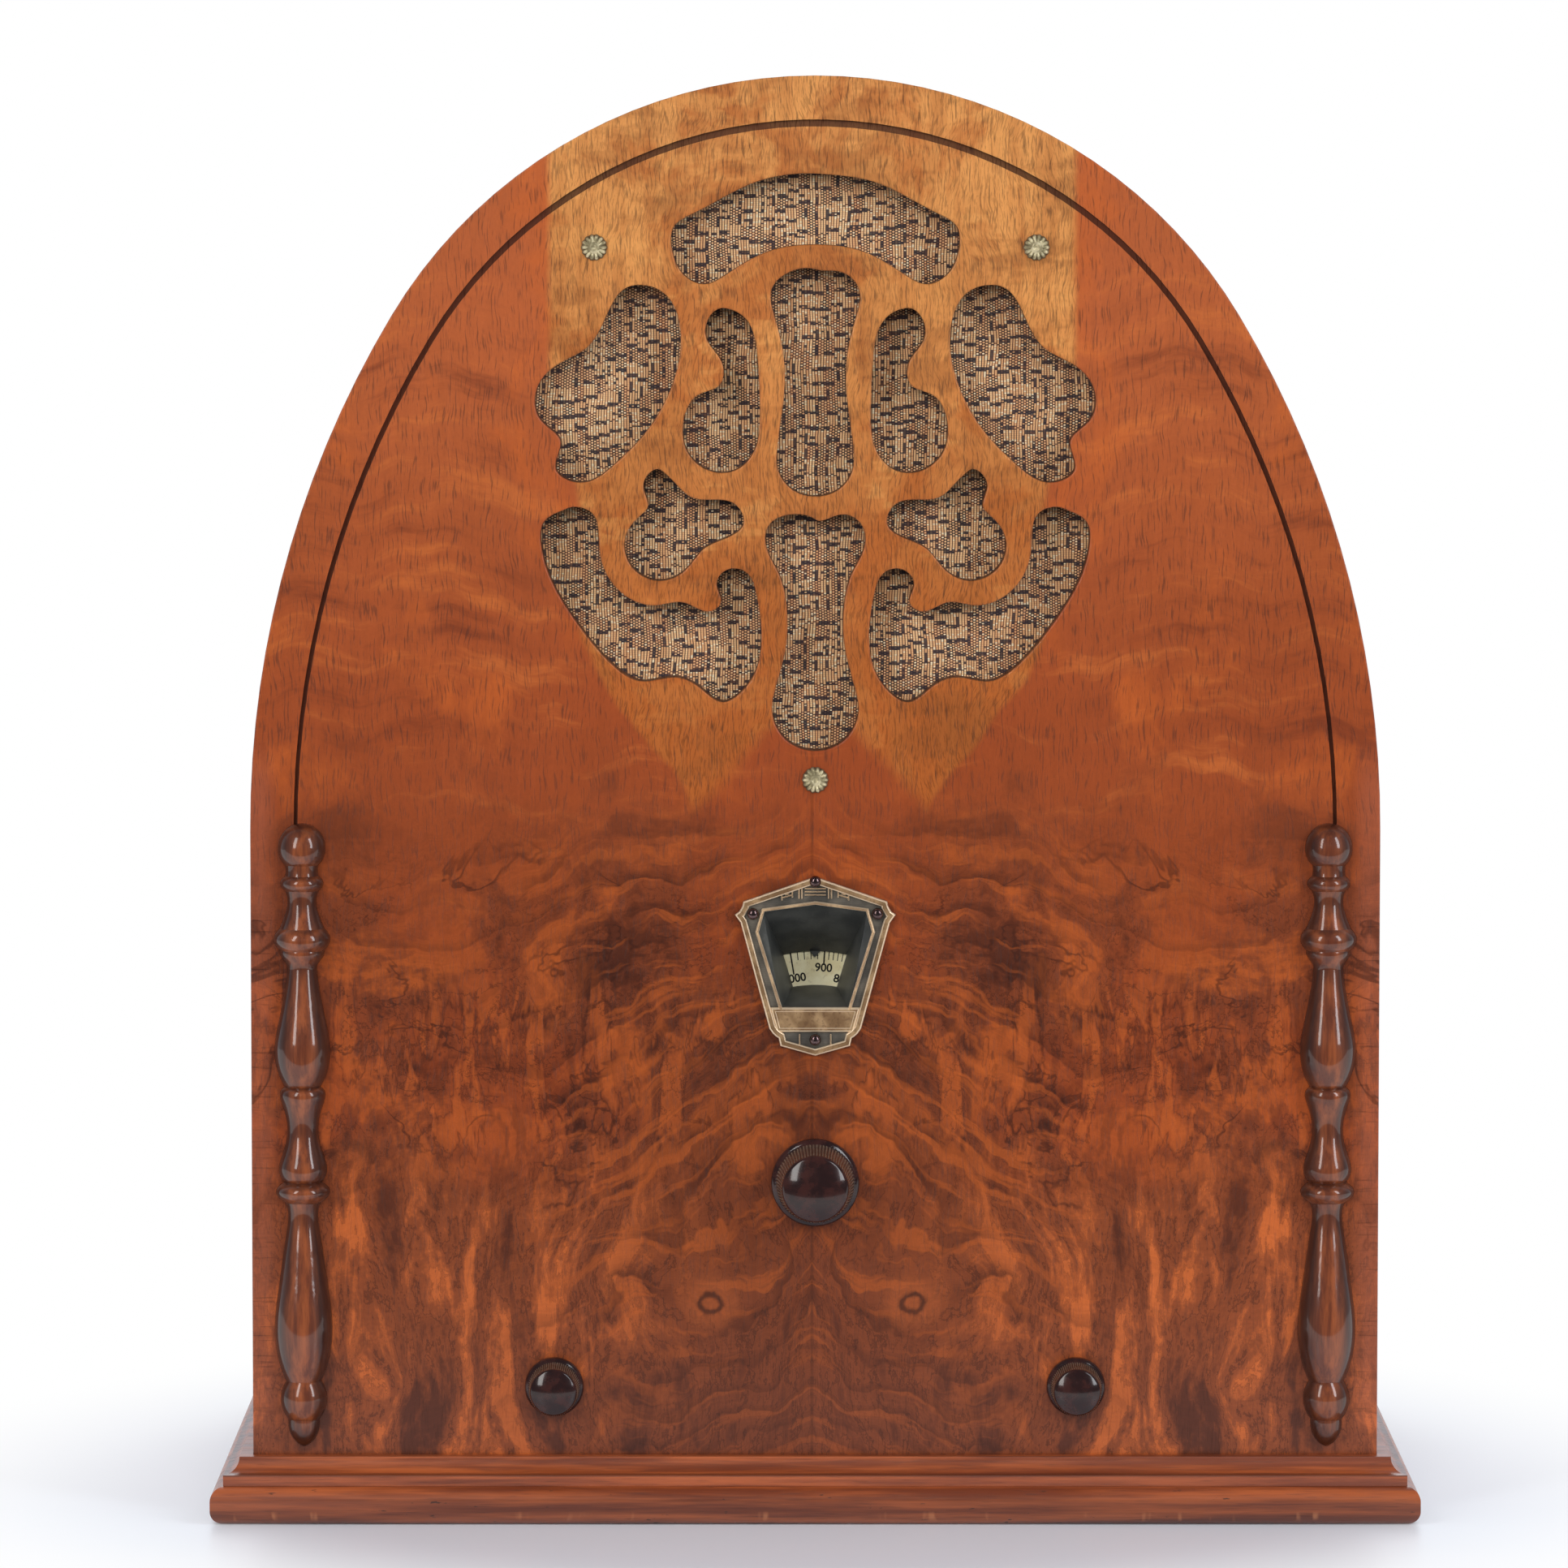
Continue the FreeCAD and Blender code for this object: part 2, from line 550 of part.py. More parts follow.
def speaker_basket():
    """Pressed steel frame with six windows between its arms."""
    y = BOARD_BACK_Y
    profile = [(91.5, y), (SPEAKER_FLANGE_R, y), (SPEAKER_FLANGE_R, y + 1.5), (93, y + 1.5), (93, y + 6.9),
               (37, y + 57.4), (16.5, y + 57.4), (16.5, y + 55.9), (36.4, y + 55.9), (89.8, y + 7.4),
               (89.8, y + 6.2), (84.5, y + 6.2), (84.5, y + 4.7), (91.5, y + 4.7)]
    basket = turned_y(profile, 0, SPEAKER_Z)
    window = [(48, y + 14), (96, y + 14), (96, y + 49), (48, y + 49)]
    axis = FreeCAD.Vector(0, 1, 0)
    centre = FreeCAD.Vector(0, 0, SPEAKER_Z)
    windows = []
    for k in range(6):
        tool = turned_y(window, 0, SPEAKER_Z, 42)
        tool.rotate(centre, axis, 60 * k + 9)
        windows.append(tool)
    holes = [rod_y(2.1, y - 1, y + 3, x, z) for x, z in bolt_places()]
    return cut_all(basket, windows + holes)


POT_FRONT_Y = BOARD_BACK_Y + 57.4
POT_BACK_Y = POT_FRONT_Y + 46.0
POLE_R = 13.0
POT_R = 34.0


def speaker_pot():
    """Steel pot and pole of the field magnet, tapped for the spider screw."""
    profile = [(2.0, POT_FRONT_Y), (POLE_R, POT_FRONT_Y), (POLE_R, POT_BACK_Y - 6), (30.5, POT_BACK_Y - 6),
               (30.5, POT_FRONT_Y + 6), (POT_R, POT_FRONT_Y + 6), (POT_R, POT_BACK_Y), (0, POT_BACK_Y),
               (0, POT_FRONT_Y + 6), (2.0, POT_FRONT_Y + 6)]
    return turned_y(profile, 0, SPEAKER_Z)


def pole_plate():
    """Front plate of the magnet, which leaves the voice coil's gap."""
    ring = rod_y(POT_R, POT_FRONT_Y, POT_FRONT_Y + 6, 0, SPEAKER_Z)
    return ring.cut(rod_y(15.6, POT_FRONT_Y - 1, POT_FRONT_Y + 7, 0, SPEAKER_Z))


def field_coil():
    """Winding that magnetises the pot."""
    y0 = POT_FRONT_Y + 6.5
    y1 = POT_BACK_Y - 6.5
    return rod_y(29.5, y0, y1, 0, SPEAKER_Z).cut(rod_y(17, y0 - 1, y1 + 1, 0, SPEAKER_Z))


def speaker_cone():
    """Paper cone."""
    rim_y = BOARD_BACK_Y + 4.0
    neck_y = POT_FRONT_Y - 6.6
    profile = [(82, rim_y), (82, rim_y + 1.0), (14.3, neck_y + 1.0), (14.3, neck_y)]
    return turned_y(profile, 0, SPEAKER_Z)


def voice_coil():
    """Coil former glued in the cone's neck, with its winding in the gap."""
    y0 = POT_FRONT_Y - 7.0
    profile = [(13.8, y0), (14.3, y0), (14.3, y0 + 9.0), (14.9, y0 + 9.0), (14.9, y0 + 16.0), (13.8, y0 + 16.0)]
    return turned_y(profile, 0, SPEAKER_Z)


def cone_surround():
    """Soft corrugated edge between the cone and the basket's ledge."""
    y = BOARD_BACK_Y + 4.0
    profile = [(82.3, y), (83.4, y - 0.8), (84.6, y), (91.2, y), (91.2, y + 0.7), (84.6, y + 0.7),
               (83.4, y - 0.1), (82.3, y + 0.7)]
    return turned_y(profile, 0, SPEAKER_Z)


def cone_spider():
    """Springy disc that centres the coil on the pole."""
    y = POT_FRONT_Y - 5.6
    disc = rod_y(13.5, y, y + 0.6, 0, SPEAKER_Z)
    holes = [rod_y(2.0, y - 1, y + 2, 0, SPEAKER_Z)]
    for k in range(4):
        angle = math.radians(90 * k + 45)
        holes.append(rod_y(2.2, y - 1, y + 2, 8.5 * math.cos(angle), SPEAKER_Z + 8.5 * math.sin(angle)))
    return cut_all(disc, holes)


def spider_screw():
    """Shouldered screw that clamps the spider to the pole."""
    y = POT_FRONT_Y
    profile = [(0, y - 7.6), (3.6, y - 7.6), (4.0, y - 5.6), (2.0, y - 5.6), (2.0, y - 5.0), (4.0, y - 5.0),
               (4.0, y), (2.0, y), (2.0, y + 6), (0, y + 6)]
    return turned_y(profile, 0, SPEAKER_Z)


OUTPUT_LOW_Z = SPEAKER_Z + POT_R
OUTPUT_FRONT_Y = POT_FRONT_Y + 16.0


def output_core():
    """Laminations of the output transformer, standing on the pot."""
    y0 = OUTPUT_FRONT_Y
    core = box(-24, 24, y0, y0 + 20, OUTPUT_LOW_Z, OUTPUT_LOW_Z + 40)
    windows = both_sides(box(8, 16, y0 - 1, y0 + 21, OUTPUT_LOW_Z + 8, OUTPUT_LOW_Z + 32))
    return cut_all(core, windows)


def output_winding():
    """Winding around the core's middle leg."""
    y0 = OUTPUT_FRONT_Y
    coil = box(-15.5, 15.5, y0 - 7, y0 + 27, OUTPUT_LOW_Z + 8.5, OUTPUT_LOW_Z + 31.5)
    return coil.cut(output_core()).cut(box(-8, 8, y0, y0 + 20, OUTPUT_LOW_Z, OUTPUT_LOW_Z + 40))


# --- Knobs and controls -------------------------------------------------------


def knob(x, z, skirt_r, cone_r, dome_r, length):
    """Moulded knob: thin skirt, tapered grip and domed cap, bored for its shaft."""
    back = FRONT_Y - 0.8
    front = back - length
    profile = [(0, front), (dome_r * 0.5, front + 0.4), (dome_r * 0.85, front + 1.3), (dome_r, front + 2.8),
               (cone_r, back - 2.6), (skirt_r - 0.6, back - 2.0), (skirt_r, back - 1.4), (skirt_r, back),
               (0, back)]
    return turned_y(profile, x, z).cut(rod_y(SHAFT_R, front + 5.0, back + 1, x, z))


KNOB_LENGTH = 21.0
SMALL_KNOB_LENGTH = 16.0


def tuning_knob():
    """Large middle knob."""
    return knob(0, KNOB_Z, 13.9, 12.3, 9.7, KNOB_LENGTH)


def small_knob(x):
    """Small lower knob."""
    return knob(x, CONTROL_Z, 9.3, 8.0, 6.75, SMALL_KNOB_LENGTH)


def tuning_shaft():
    """Spindle from the tuning knob to the friction wheel."""
    return rod_y(SHAFT_R, FRONT_Y - 0.8 - KNOB_LENGTH + 5.0, DIAL_FRONT_Y - 3.0, 0, KNOB_Z)


def friction_wheel():
    """Small wheel that drives the dial's drum."""
    y0 = DRUM_FRONT_Y + 0.4
    wheel = rod_y(WHEEL_R, y0, DIAL_FRONT_Y - 3.0, 0, KNOB_Z)
    return wheel.cut(rod_y(SHAFT_R, y0 - 1, DIAL_FRONT_Y, 0, KNOB_Z))


BRACKET_FRONT_Y = PANEL_BACK_Y + 2.0


def tuning_bracket():
    """Folded steel bracket that carries the tuning shaft above the chassis."""
    top_z = KNOB_Z + 11.0
    plate = box(-15, 15, BRACKET_FRONT_Y, BRACKET_FRONT_Y + 1.5, CHASSIS_TOP_Z, top_z)
    foot = box(-15, 15, BRACKET_FRONT_Y, -79.0, CHASSIS_TOP_Z, CHASSIS_TOP_Z + 1.5)
    return plate.fuse(foot).removeSplitter().cut(rod_y(5.5, PANEL_BACK_Y, BRACKET_FRONT_Y + 3, 0, KNOB_Z))


def tuning_bush():
    """Brass bearing in the bracket."""
    y0 = BRACKET_FRONT_Y - 1.4
    bush = rod_y(5.5, BRACKET_FRONT_Y, BRACKET_FRONT_Y + 3.0, 0, KNOB_Z)
    bush = bush.fuse(rod_y(7.0, y0, BRACKET_FRONT_Y, 0, KNOB_Z))
    return bush.cut(rod_y(SHAFT_R + RUNNING_GAP, y0 - 1, BRACKET_FRONT_Y + 4, 0, KNOB_Z))


def control_shaft(x):
    """Spindle from a small knob into its control."""
    return rod_y(SHAFT_R, FRONT_Y - 0.8 - SMALL_KNOB_LENGTH + 5.0, CHASSIS_FRONT_Y + 12.0, x, CONTROL_Z)


def control_body(x, r, depth):
    """Round control behind the chassis's front, with its bush and nut."""
    back = CHASSIS_FRONT_Y + SHEET
    body = rod_y(r, back, back + depth, x, CONTROL_Z)
    bush = rod_y(4.7, CHASSIS_FRONT_Y - 5.0, back, x, CONTROL_Z)
    nut = rod_y(7.5, CHASSIS_FRONT_Y - 2.6, CHASSIS_FRONT_Y, x, CONTROL_Z)
    bore = rod_y(SHAFT_R + RUNNING_GAP, CHASSIS_FRONT_Y - 6.0, CHASSIS_FRONT_Y + 12.3, x, CONTROL_Z)
    return body.fuse([bush, nut]).cut(bore)


# --- Dial and tuning capacitor ------------------------------------------------


def dial_disc():
    """Scale disc."""
    disc = rod_y(DIAL_R, DIAL_FRONT_Y, DIAL_FRONT_Y + 0.8, 0, DIAL_Z)
    return disc.cut(rod_y(SHAFT_R, DIAL_FRONT_Y - 1, DIAL_FRONT_Y + 2, 0, DIAL_Z))


def dial_drum():
    """Friction drum and hub in front of the disc."""
    drum = rod_y(DRUM_R, DRUM_FRONT_Y, DIAL_FRONT_Y, 0, DIAL_Z)
    return drum.cut(rod_y(SHAFT_R, DRUM_FRONT_Y - 1, DIAL_FRONT_Y + 1, 0, DIAL_Z))


GANG_FRONT_Y = -62.0
GANG_BACK_Y = 37.0
GANG_CENTRES = (-45.0, -12.5, 20.0)
PLATE_PITCH = 3.0
ROTOR_PLATES = 7
PLATE_THICK = 0.8


def capacitor_shaft():
    """Shaft of the tuning capacitor, which also carries the dial."""
    return rod_y(SHAFT_R, DRUM_FRONT_Y, GANG_BACK_Y + 0.5, 0, DIAL_Z)


def rotor_plates():
    """Half-round moving plates in three gangs."""
    gangs = []
    reach = PLATE_PITCH * (ROTOR_PLATES - 1) / 2 + PLATE_THICK
    for centre in GANG_CENTRES:
        gang = rod_y(5.5, centre - reach, centre + reach, 0, DIAL_Z)
        plates = []
        for k in range(ROTOR_PLATES):
            y = centre + PLATE_PITCH * (k - (ROTOR_PLATES - 1) / 2)
            plate = rod_y(24, y - PLATE_THICK / 2, y + PLATE_THICK / 2, 0, DIAL_Z)
            plates.append(plate.common(box(-30, 30, y - 2, y + 2, DIAL_Z, DIAL_Z + 30)))
        gang = gang.fuse(plates)
        gangs.append(gang.cut(rod_y(SHAFT_R, centre - 30, centre + 30, 0, DIAL_Z)))
    return Part.makeCompound(gangs)


def stator_plates():
    """Fixed plates between the moving ones, on two tie bars for each gang."""
    stacks = []
    for centre in GANG_CENTRES:
        reach = PLATE_PITCH * (ROTOR_PLATES - 1) / 2
        plates = []
        for k in range(ROTOR_PLATES - 1):
            y = centre + PLATE_PITCH * (k - (ROTOR_PLATES - 2) / 2)
            ring = rod_y(28, y - 0.35, y + 0.35, 0, DIAL_Z).cut(rod_y(7, y - 1, y + 1, 0, DIAL_Z))
            plates.append(ring.common(box(-30, -1, y - 2, y + 2, DIAL_Z - 30, DIAL_Z + 30)))
        bars = [box(-28, -24.8, centre - reach, centre + reach, z, z + 3) for z in (DIAL_Z - 6, DIAL_Z + 3)]
        stacks.append(bars[0].fuse([bars[1]] + plates))
    return Part.makeCompound(stacks)


def capacitor_frame():
    """Steel frame of the three-gang capacitor on four feet."""
    low_z = 94.0
    top_z = DIAL_Z + 28.0
    half = 32.0
    sheet = 1.5
    frame = box(-half, half, GANG_FRONT_Y, GANG_BACK_Y, low_z, low_z + sheet)
    step = (GANG_BACK_Y - GANG_FRONT_Y - sheet) / 3
    walls = []
    holes = []
    for k in range(4):
        y = GANG_FRONT_Y + step * k
        walls.append(box(-half, half, y, y + sheet, low_z, top_z))
        bore_r = SHAFT_R + RUNNING_GAP if k in (0, 3) else 7.0
        holes.append(rod_y(bore_r, y - 1, y + sheet + 1, 0, DIAL_Z))
    feet = []
    for x in (-25, 25):
        for y in (GANG_FRONT_Y + 10, GANG_BACK_Y - 10):
            feet.append(rod_z(4.5, CHASSIS_TOP_Z, low_z, x, y))
    return cut_all(frame.fuse(walls + feet).removeSplitter(), holes)


LAMP_Z = 171.0


def lamp_bracket():
    """Strip on the capacitor frame that holds the lamp behind the dial."""
    strip = box(-6, 6, GANG_FRONT_Y - 1.0, GANG_FRONT_Y, 146, LAMP_Z + 9)
    holder = rod_y(6.5, GANG_FRONT_Y - 8.0, GANG_FRONT_Y - 1.0, 0, LAMP_Z)
    return strip.fuse(holder)


def dial_lamp():
    """Small screw-cap bulb pointing at the back of the dial."""
    y = GANG_FRONT_Y - 8.0
    profile = [(0, y), (4.6, y), (4.6, y - 4), (5.4, y - 6), (5.4, y - 9), (3.8, y - 11.5), (0, y - 12.6)]
    return turned_y(profile, 0, LAMP_Z)


# --- Chassis and its parts ----------------------------------------------------


def all_sockets():
    """(x, y) of every valve socket and of the loudspeaker's socket."""
    return [valve[:2] for valve in SCREENED_VALVES + OPEN_VALVES] + [SPEAKER_PLUG_PLACE]


def chassis():
    """Folded steel pan with side feet, drilled for its parts."""
    half = CHASSIS_HALF_X
    pan = box(-half, half, CHASSIS_FRONT_Y, CHASSIS_BACK_Y, CHASSIS_LOW_Z, CHASSIS_TOP_Z)
    pan = pan.cut(box(-half + SHEET, half - SHEET, CHASSIS_FRONT_Y + SHEET, CHASSIS_BACK_Y - SHEET,
                      CHASSIS_LOW_Z - 1, CHASSIS_TOP_Z - SHEET))
    foot_z = CHASSIS_LOW_Z + SHEET
    feet = both_sides(box(half - 24, half - SHEET, CHASSIS_FRONT_Y + SHEET, CHASSIS_BACK_Y - SHEET,
                          CHASSIS_LOW_Z, foot_z))
    nuts = [rod_z(6.0, foot_z, foot_z + 4, x, y) for x, y in CHASSIS_BOLT_PLACES]
    pan = pan.fuse(feet + nuts)
    holes = [rod_z(15.0, CHASSIS_TOP_Z - 3, CHASSIS_TOP_Z + 1, x, y) for x, y in all_sockets()]
    holes.extend(rod_z(3.0, CHASSIS_LOW_Z - 1, foot_z + 5, x, y) for x, y in CHASSIS_BOLT_PLACES)
    for x in (-CONTROL_X, CONTROL_X):
        holes.append(rod_y(4.7, CHASSIS_FRONT_Y - 1, CHASSIS_FRONT_Y + 3, x, CONTROL_Z))
    holes.append(rod_y(6.0, CHASSIS_BACK_Y - 3, CHASSIS_BACK_Y + 1, GROMMET_X, GROMMET_Z))
    return cut_all(pan, holes)


GROMMET_X = 112.0
GROMMET_Z = 46.0


def cord_grommet():
    """Rubber grommet for the mains lead in the chassis's back."""
    y0 = CHASSIS_BACK_Y - SHEET - 2.0
    y1 = CHASSIS_BACK_Y + 2.4
    profile = [(3.6, y0), (8.5, y0), (8.5, y0 + 2.0), (6.0, y0 + 2.0), (6.0, y1 - 2.4), (8.5, y1 - 2.4),
               (8.5, y1 - 0.6), (7.9, y1), (3.6, y1)]
    return turned_y(profile, GROMMET_X, GROMMET_Z)


def terminal_strip():
    """Aerial and earth terminals on the chassis's back."""
    plate = box(-118, -66, CHASSIS_BACK_Y, CHASSIS_BACK_Y + 3, 38, 58)
    posts = []
    for x in (-106, -78):
        posts.append(rod_y(2.0, CHASSIS_BACK_Y + 3, CHASSIS_BACK_Y + 12, x, 48))
        posts.append(rod_y(4.6, CHASSIS_BACK_Y + 6, CHASSIS_BACK_Y + 10, x, 48))
    return plate.fuse(posts)


def chassis_cushions():
    """Rubber rings between the chassis's feet and the base board."""
    rings = []
    for x, y in CHASSIS_BOLT_PLACES:
        ring = rod_z(9.0, BASE_THICK, CHASSIS_LOW_Z, x, y)
        rings.append(ring.cut(rod_z(3.4, BASE_THICK - 1, CHASSIS_LOW_Z + 1, x, y)))
    return Part.makeCompound(rings)


def chassis_bolts():
    """Bolts from under the base board into the chassis's feet."""
    bolts = []
    for x, y in CHASSIS_BOLT_PLACES:
        profile = [(0, 2.0), (6.5, 2.0), (7.5, 3.0), (7.5, 6.0), (3.0, 6.0), (3.0, 24.0), (0, 24.0)]
        bolts.append(turned_z(profile, x, y))
    return Part.makeCompound(bolts)


def tube_sockets():
    """Moulded sockets for the valves and the loudspeaker's plug."""
    sockets = []
    for x, y in all_sockets():
        profile = [(0, 68.0), (14.6, 68.0), (14.6, CHASSIS_TOP_Z), (18.6, CHASSIS_TOP_Z),
                   (18.6, SOCKET_TOP_Z), (0, SOCKET_TOP_Z)]
        sockets.append(turned_z(profile, x, y))
    return Part.makeCompound(sockets)


def tube_bases():
    """Moulded bases of the valves, and the like-shaped plug of the loudspeaker's lead."""
    bases = []
    for x, y, _, _ in SCREENED_VALVES + OPEN_VALVES:
        profile = [(0, SOCKET_TOP_Z), (15.6, SOCKET_TOP_Z), (VALVE_BASE_R, SOCKET_TOP_Z + 1.2),
                   (VALVE_BASE_R, VALVE_BASE_TOP_Z), (0, VALVE_BASE_TOP_Z)]
        bases.append(turned_z(profile, x, y))
    x, y = SPEAKER_PLUG_PLACE
    plug = [(0, SOCKET_TOP_Z), (13.5, SOCKET_TOP_Z), (13.5, SOCKET_TOP_Z + 15), (9.0, SOCKET_TOP_Z + 19),
            (0, SOCKET_TOP_Z + 19)]
    bases.append(turned_z(plug, x, y))
    return Part.makeCompound(bases)


def tube_bulbs():
    """Pear-shaped glass envelopes, open into their bases."""
    bulbs = []
    glass = 1.0
    for x, y, r, height in SCREENED_VALVES + OPEN_VALVES:
        z = VALVE_BASE_TOP_Z
        shoulder = [(14.5, 0.0), (15.5, 0.16), (r * 0.96, 0.42), (r, 0.58), (r * 0.94, 0.74),
                    (r * 0.72, 0.9), (r * 0.36, 0.985)]
        outer = [(radius, z + height * part) for radius, part in shoulder] + [(0, z + height)]
        inner = [(0, z + height - glass)]
        inner.extend((radius - glass, z + (height - glass) * part) for radius, part in shoulder[::-1])
        bulbs.append(turned_z(outer + inner, x, y))
    return Part.makeCompound(bulbs)


def tube_shields():
    """Metal cans over the screened valves, with a hole for the grid lead."""
    cans = []
    top_z = 192.0
    r = 21.5
    for x, y, _, _ in SCREENED_VALVES:
        outer = [(r, SOCKET_TOP_Z), (r, top_z - 9), (r - 3, top_z - 3), (r - 9, top_z), (5.0, top_z)]
        inner = [(5.0, top_z - 0.8), (r - 9, top_z - 0.8), (r - 3.7, top_z - 3.5), (r - 0.8, top_z - 9.3),
                 (r - 0.8, SOCKET_TOP_Z)]
        cans.append(turned_z(outer + inner, x, y))
    return Part.makeCompound(cans)


def grid_leads():
    """Short leads from the screened valves to the tuning capacitor."""
    leads = []
    frame_top = DIAL_Z + 28.0
    for x, y, _, height in SCREENED_VALVES:
        low = VALVE_BASE_TOP_Z + height
        route = ((x, y, low), (x, y, low + 20), (x + 22, y - 2, low + 16), (-28, y - 6, frame_top))
        leads.append(lead(route, 1.2))
    return Part.makeCompound(leads)


def coil_cans():
    """Tall aluminium cans over the tuning coils."""
    cans = []
    r = 24.0
    top_z = CHASSIS_TOP_Z + 88.0
    for x, y in COIL_CAN_PLACES:
        outer = [(r, CHASSIS_TOP_Z), (r, top_z - 3), (r - 3, top_z), (0, top_z)]
        inner = [(0, top_z - 1), (r - 3.5, top_z - 1), (r - 1, top_z - 3.5), (r - 1, CHASSIS_TOP_Z)]
        cans.append(turned_z(outer + inner, x, y))
    return Part.makeCompound(cans)


def filter_cans():
    """Electrolytic capacitors with a rolled top edge."""
    cans = []
    r = 14.0
    top_z = CHASSIS_TOP_Z + 96.0
    for x, y in FILTER_CAN_PLACES:
        profile = [(0, CHASSIS_TOP_Z), (r + 2, CHASSIS_TOP_Z), (r + 2, CHASSIS_TOP_Z + 5), (r, CHASSIS_TOP_Z + 5),
                   (r, top_z - 1), (r - 1, top_z), (r - 2.5, top_z), (r - 3, top_z - 1.5), (0, top_z - 1.5)]
        cans.append(turned_z(profile, x, y))
    return Part.makeCompound(cans)


def bypass_capacitors():
    """Moulded capacitor blocks under the chassis."""
    top = CHASSIS_TOP_Z - SHEET
    return Part.makeCompound([box(x, x + 42, y, y + 22, top - 17, top)
                              for x, y in ((-34, -44), (-34, -12), (-34, 20), (-142, 28), (84, -18))])


def transformer_core():
    """Lamination stack of the power transformer, lying flat."""
    return box(TRANSFORMER_X - 35, TRANSFORMER_X + 35, TRANSFORMER_Y - 37, TRANSFORMER_Y + 37, 97, 119)


def transformer_shells():
    """Drawn steel covers above and below the laminations."""
    half_x = 28.0
    half_y = 30.0
    shells = []
    for z0, z1 in ((CHASSIS_TOP_Z, 97.0), (119.0, 150.0)):
        shell = box(TRANSFORMER_X - half_x, TRANSFORMER_X + half_x, TRANSFORMER_Y - half_y,
                    TRANSFORMER_Y + half_y, z0, z1)
        uprights = [edge for edge in shell.Edges if edge.BoundBox.ZLength > 1]
        shell = shell.makeFillet(8.0, uprights)
        if z1 > 119.0:
            rim = [edge for edge in shell.Edges if edge.BoundBox.ZMin > z1 - 0.01]
            shell = shell.makeFillet(6.0, rim)
        shells.append(shell)
    return Part.makeCompound(shells)


def speaker_cable():
    """Lead from the output transformer down to its plug on the chassis."""
    x, y = SPEAKER_PLUG_PLACE
    start_y = OUTPUT_FRONT_Y + 27.0
    route = ((6, start_y, OUTPUT_LOW_Z + 20), (6, start_y + 42, OUTPUT_LOW_Z + 20), (4, start_y + 60, 340),
             (-2, start_y + 64, 284), (-12, start_y + 60, 228), (-17, y + 1, 172), (x, y, 128),
             (x, y, SOCKET_TOP_Z + 19))
    return lead(route, 3.2)


# --- Parts by name ------------------------------------------------------------

PARTS = {
    "base_board": base_board(),
    "plinth_moulding": plinth_moulding(),
    "front_panel": front_panel(),
    "arch_shell": arch_shell(),
    "left_baluster": spindle(-SPINDLE_X),
    "right_baluster": spindle(SPINDLE_X),
    "glue_blocks": glue_blocks(),
    "grille_cloth": grille_cloth(),
    "speaker_board": speaker_board(),
    "escutcheon": escutcheon(),
    "escutcheon_pins": escutcheon_pins(),
    "dial_funnel": dial_funnel(),
    "speaker_bolts": speaker_bolts(),
    "speaker_nuts": speaker_nuts(),
    "speaker_basket": speaker_basket(),
    "speaker_pot": speaker_pot(),
    "pole_plate": pole_plate(),
    "field_coil": field_coil(),
    "speaker_cone": speaker_cone(),
    "voice_coil": voice_coil(),
    "cone_surround": cone_surround(),
    "cone_spider": cone_spider(),
    "spider_screw": spider_screw(),
    "output_core": output_core(),
    "output_winding": output_winding(),
    "tuning_knob": tuning_knob(),
    "tuning_shaft": tuning_shaft(),
    "friction_wheel": friction_wheel(),
    "tuning_bracket": tuning_bracket(),
    "tuning_bush": tuning_bush(),
    "dial_disc": dial_disc(),
    "dial_drum": dial_drum(),
    "capacitor_shaft": capacitor_shaft(),
    "rotor_plates": rotor_plates(),
    "stator_plates": stator_plates(),
    "capacitor_frame": capacitor_frame(),
    "dial_lamp": dial_lamp(),
    "lamp_bracket": lamp_bracket(),
    "volume_knob": small_knob(-CONTROL_X),
    "volume_shaft": control_shaft(-CONTROL_X),
    "volume_control": control_body(-CONTROL_X, 19.0, 15.0),
    "tone_knob": small_knob(CONTROL_X),
    "tone_shaft": control_shaft(CONTROL_X),
    "tone_switch": control_body(CONTROL_X, 16.0, 18.0),
    "chassis": chassis(),
    "chassis_bolts": chassis_bolts(),
    "chassis_cushions": chassis_cushions(),
    "cord_grommet": cord_grommet(),
    "terminal_strip": terminal_strip(),
    "tube_sockets": tube_sockets(),
    "tube_bases": tube_bases(),
    "tube_bulbs": tube_bulbs(),
    "tube_shields": tube_shields(),
    "grid_leads": grid_leads(),
    "coil_cans": coil_cans(),
    "filter_cans": filter_cans(),
    "bypass_capacitors": bypass_capacitors(),
    "transformer_core": transformer_core(),
    "transformer_shells": transformer_shells(),
    "speaker_cable": speaker_cable(),
}

os.makedirs("parts", exist_ok=True)
for name, shape in PARTS.items():
    if not shape.isValid():
        print("not valid:", name)
    shape.exportStep(os.path.join("parts", name + ".step"))
print(len(PARTS), "parts")
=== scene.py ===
"""Looks, light and camera for the cathedral radio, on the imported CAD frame."""

import json
import math

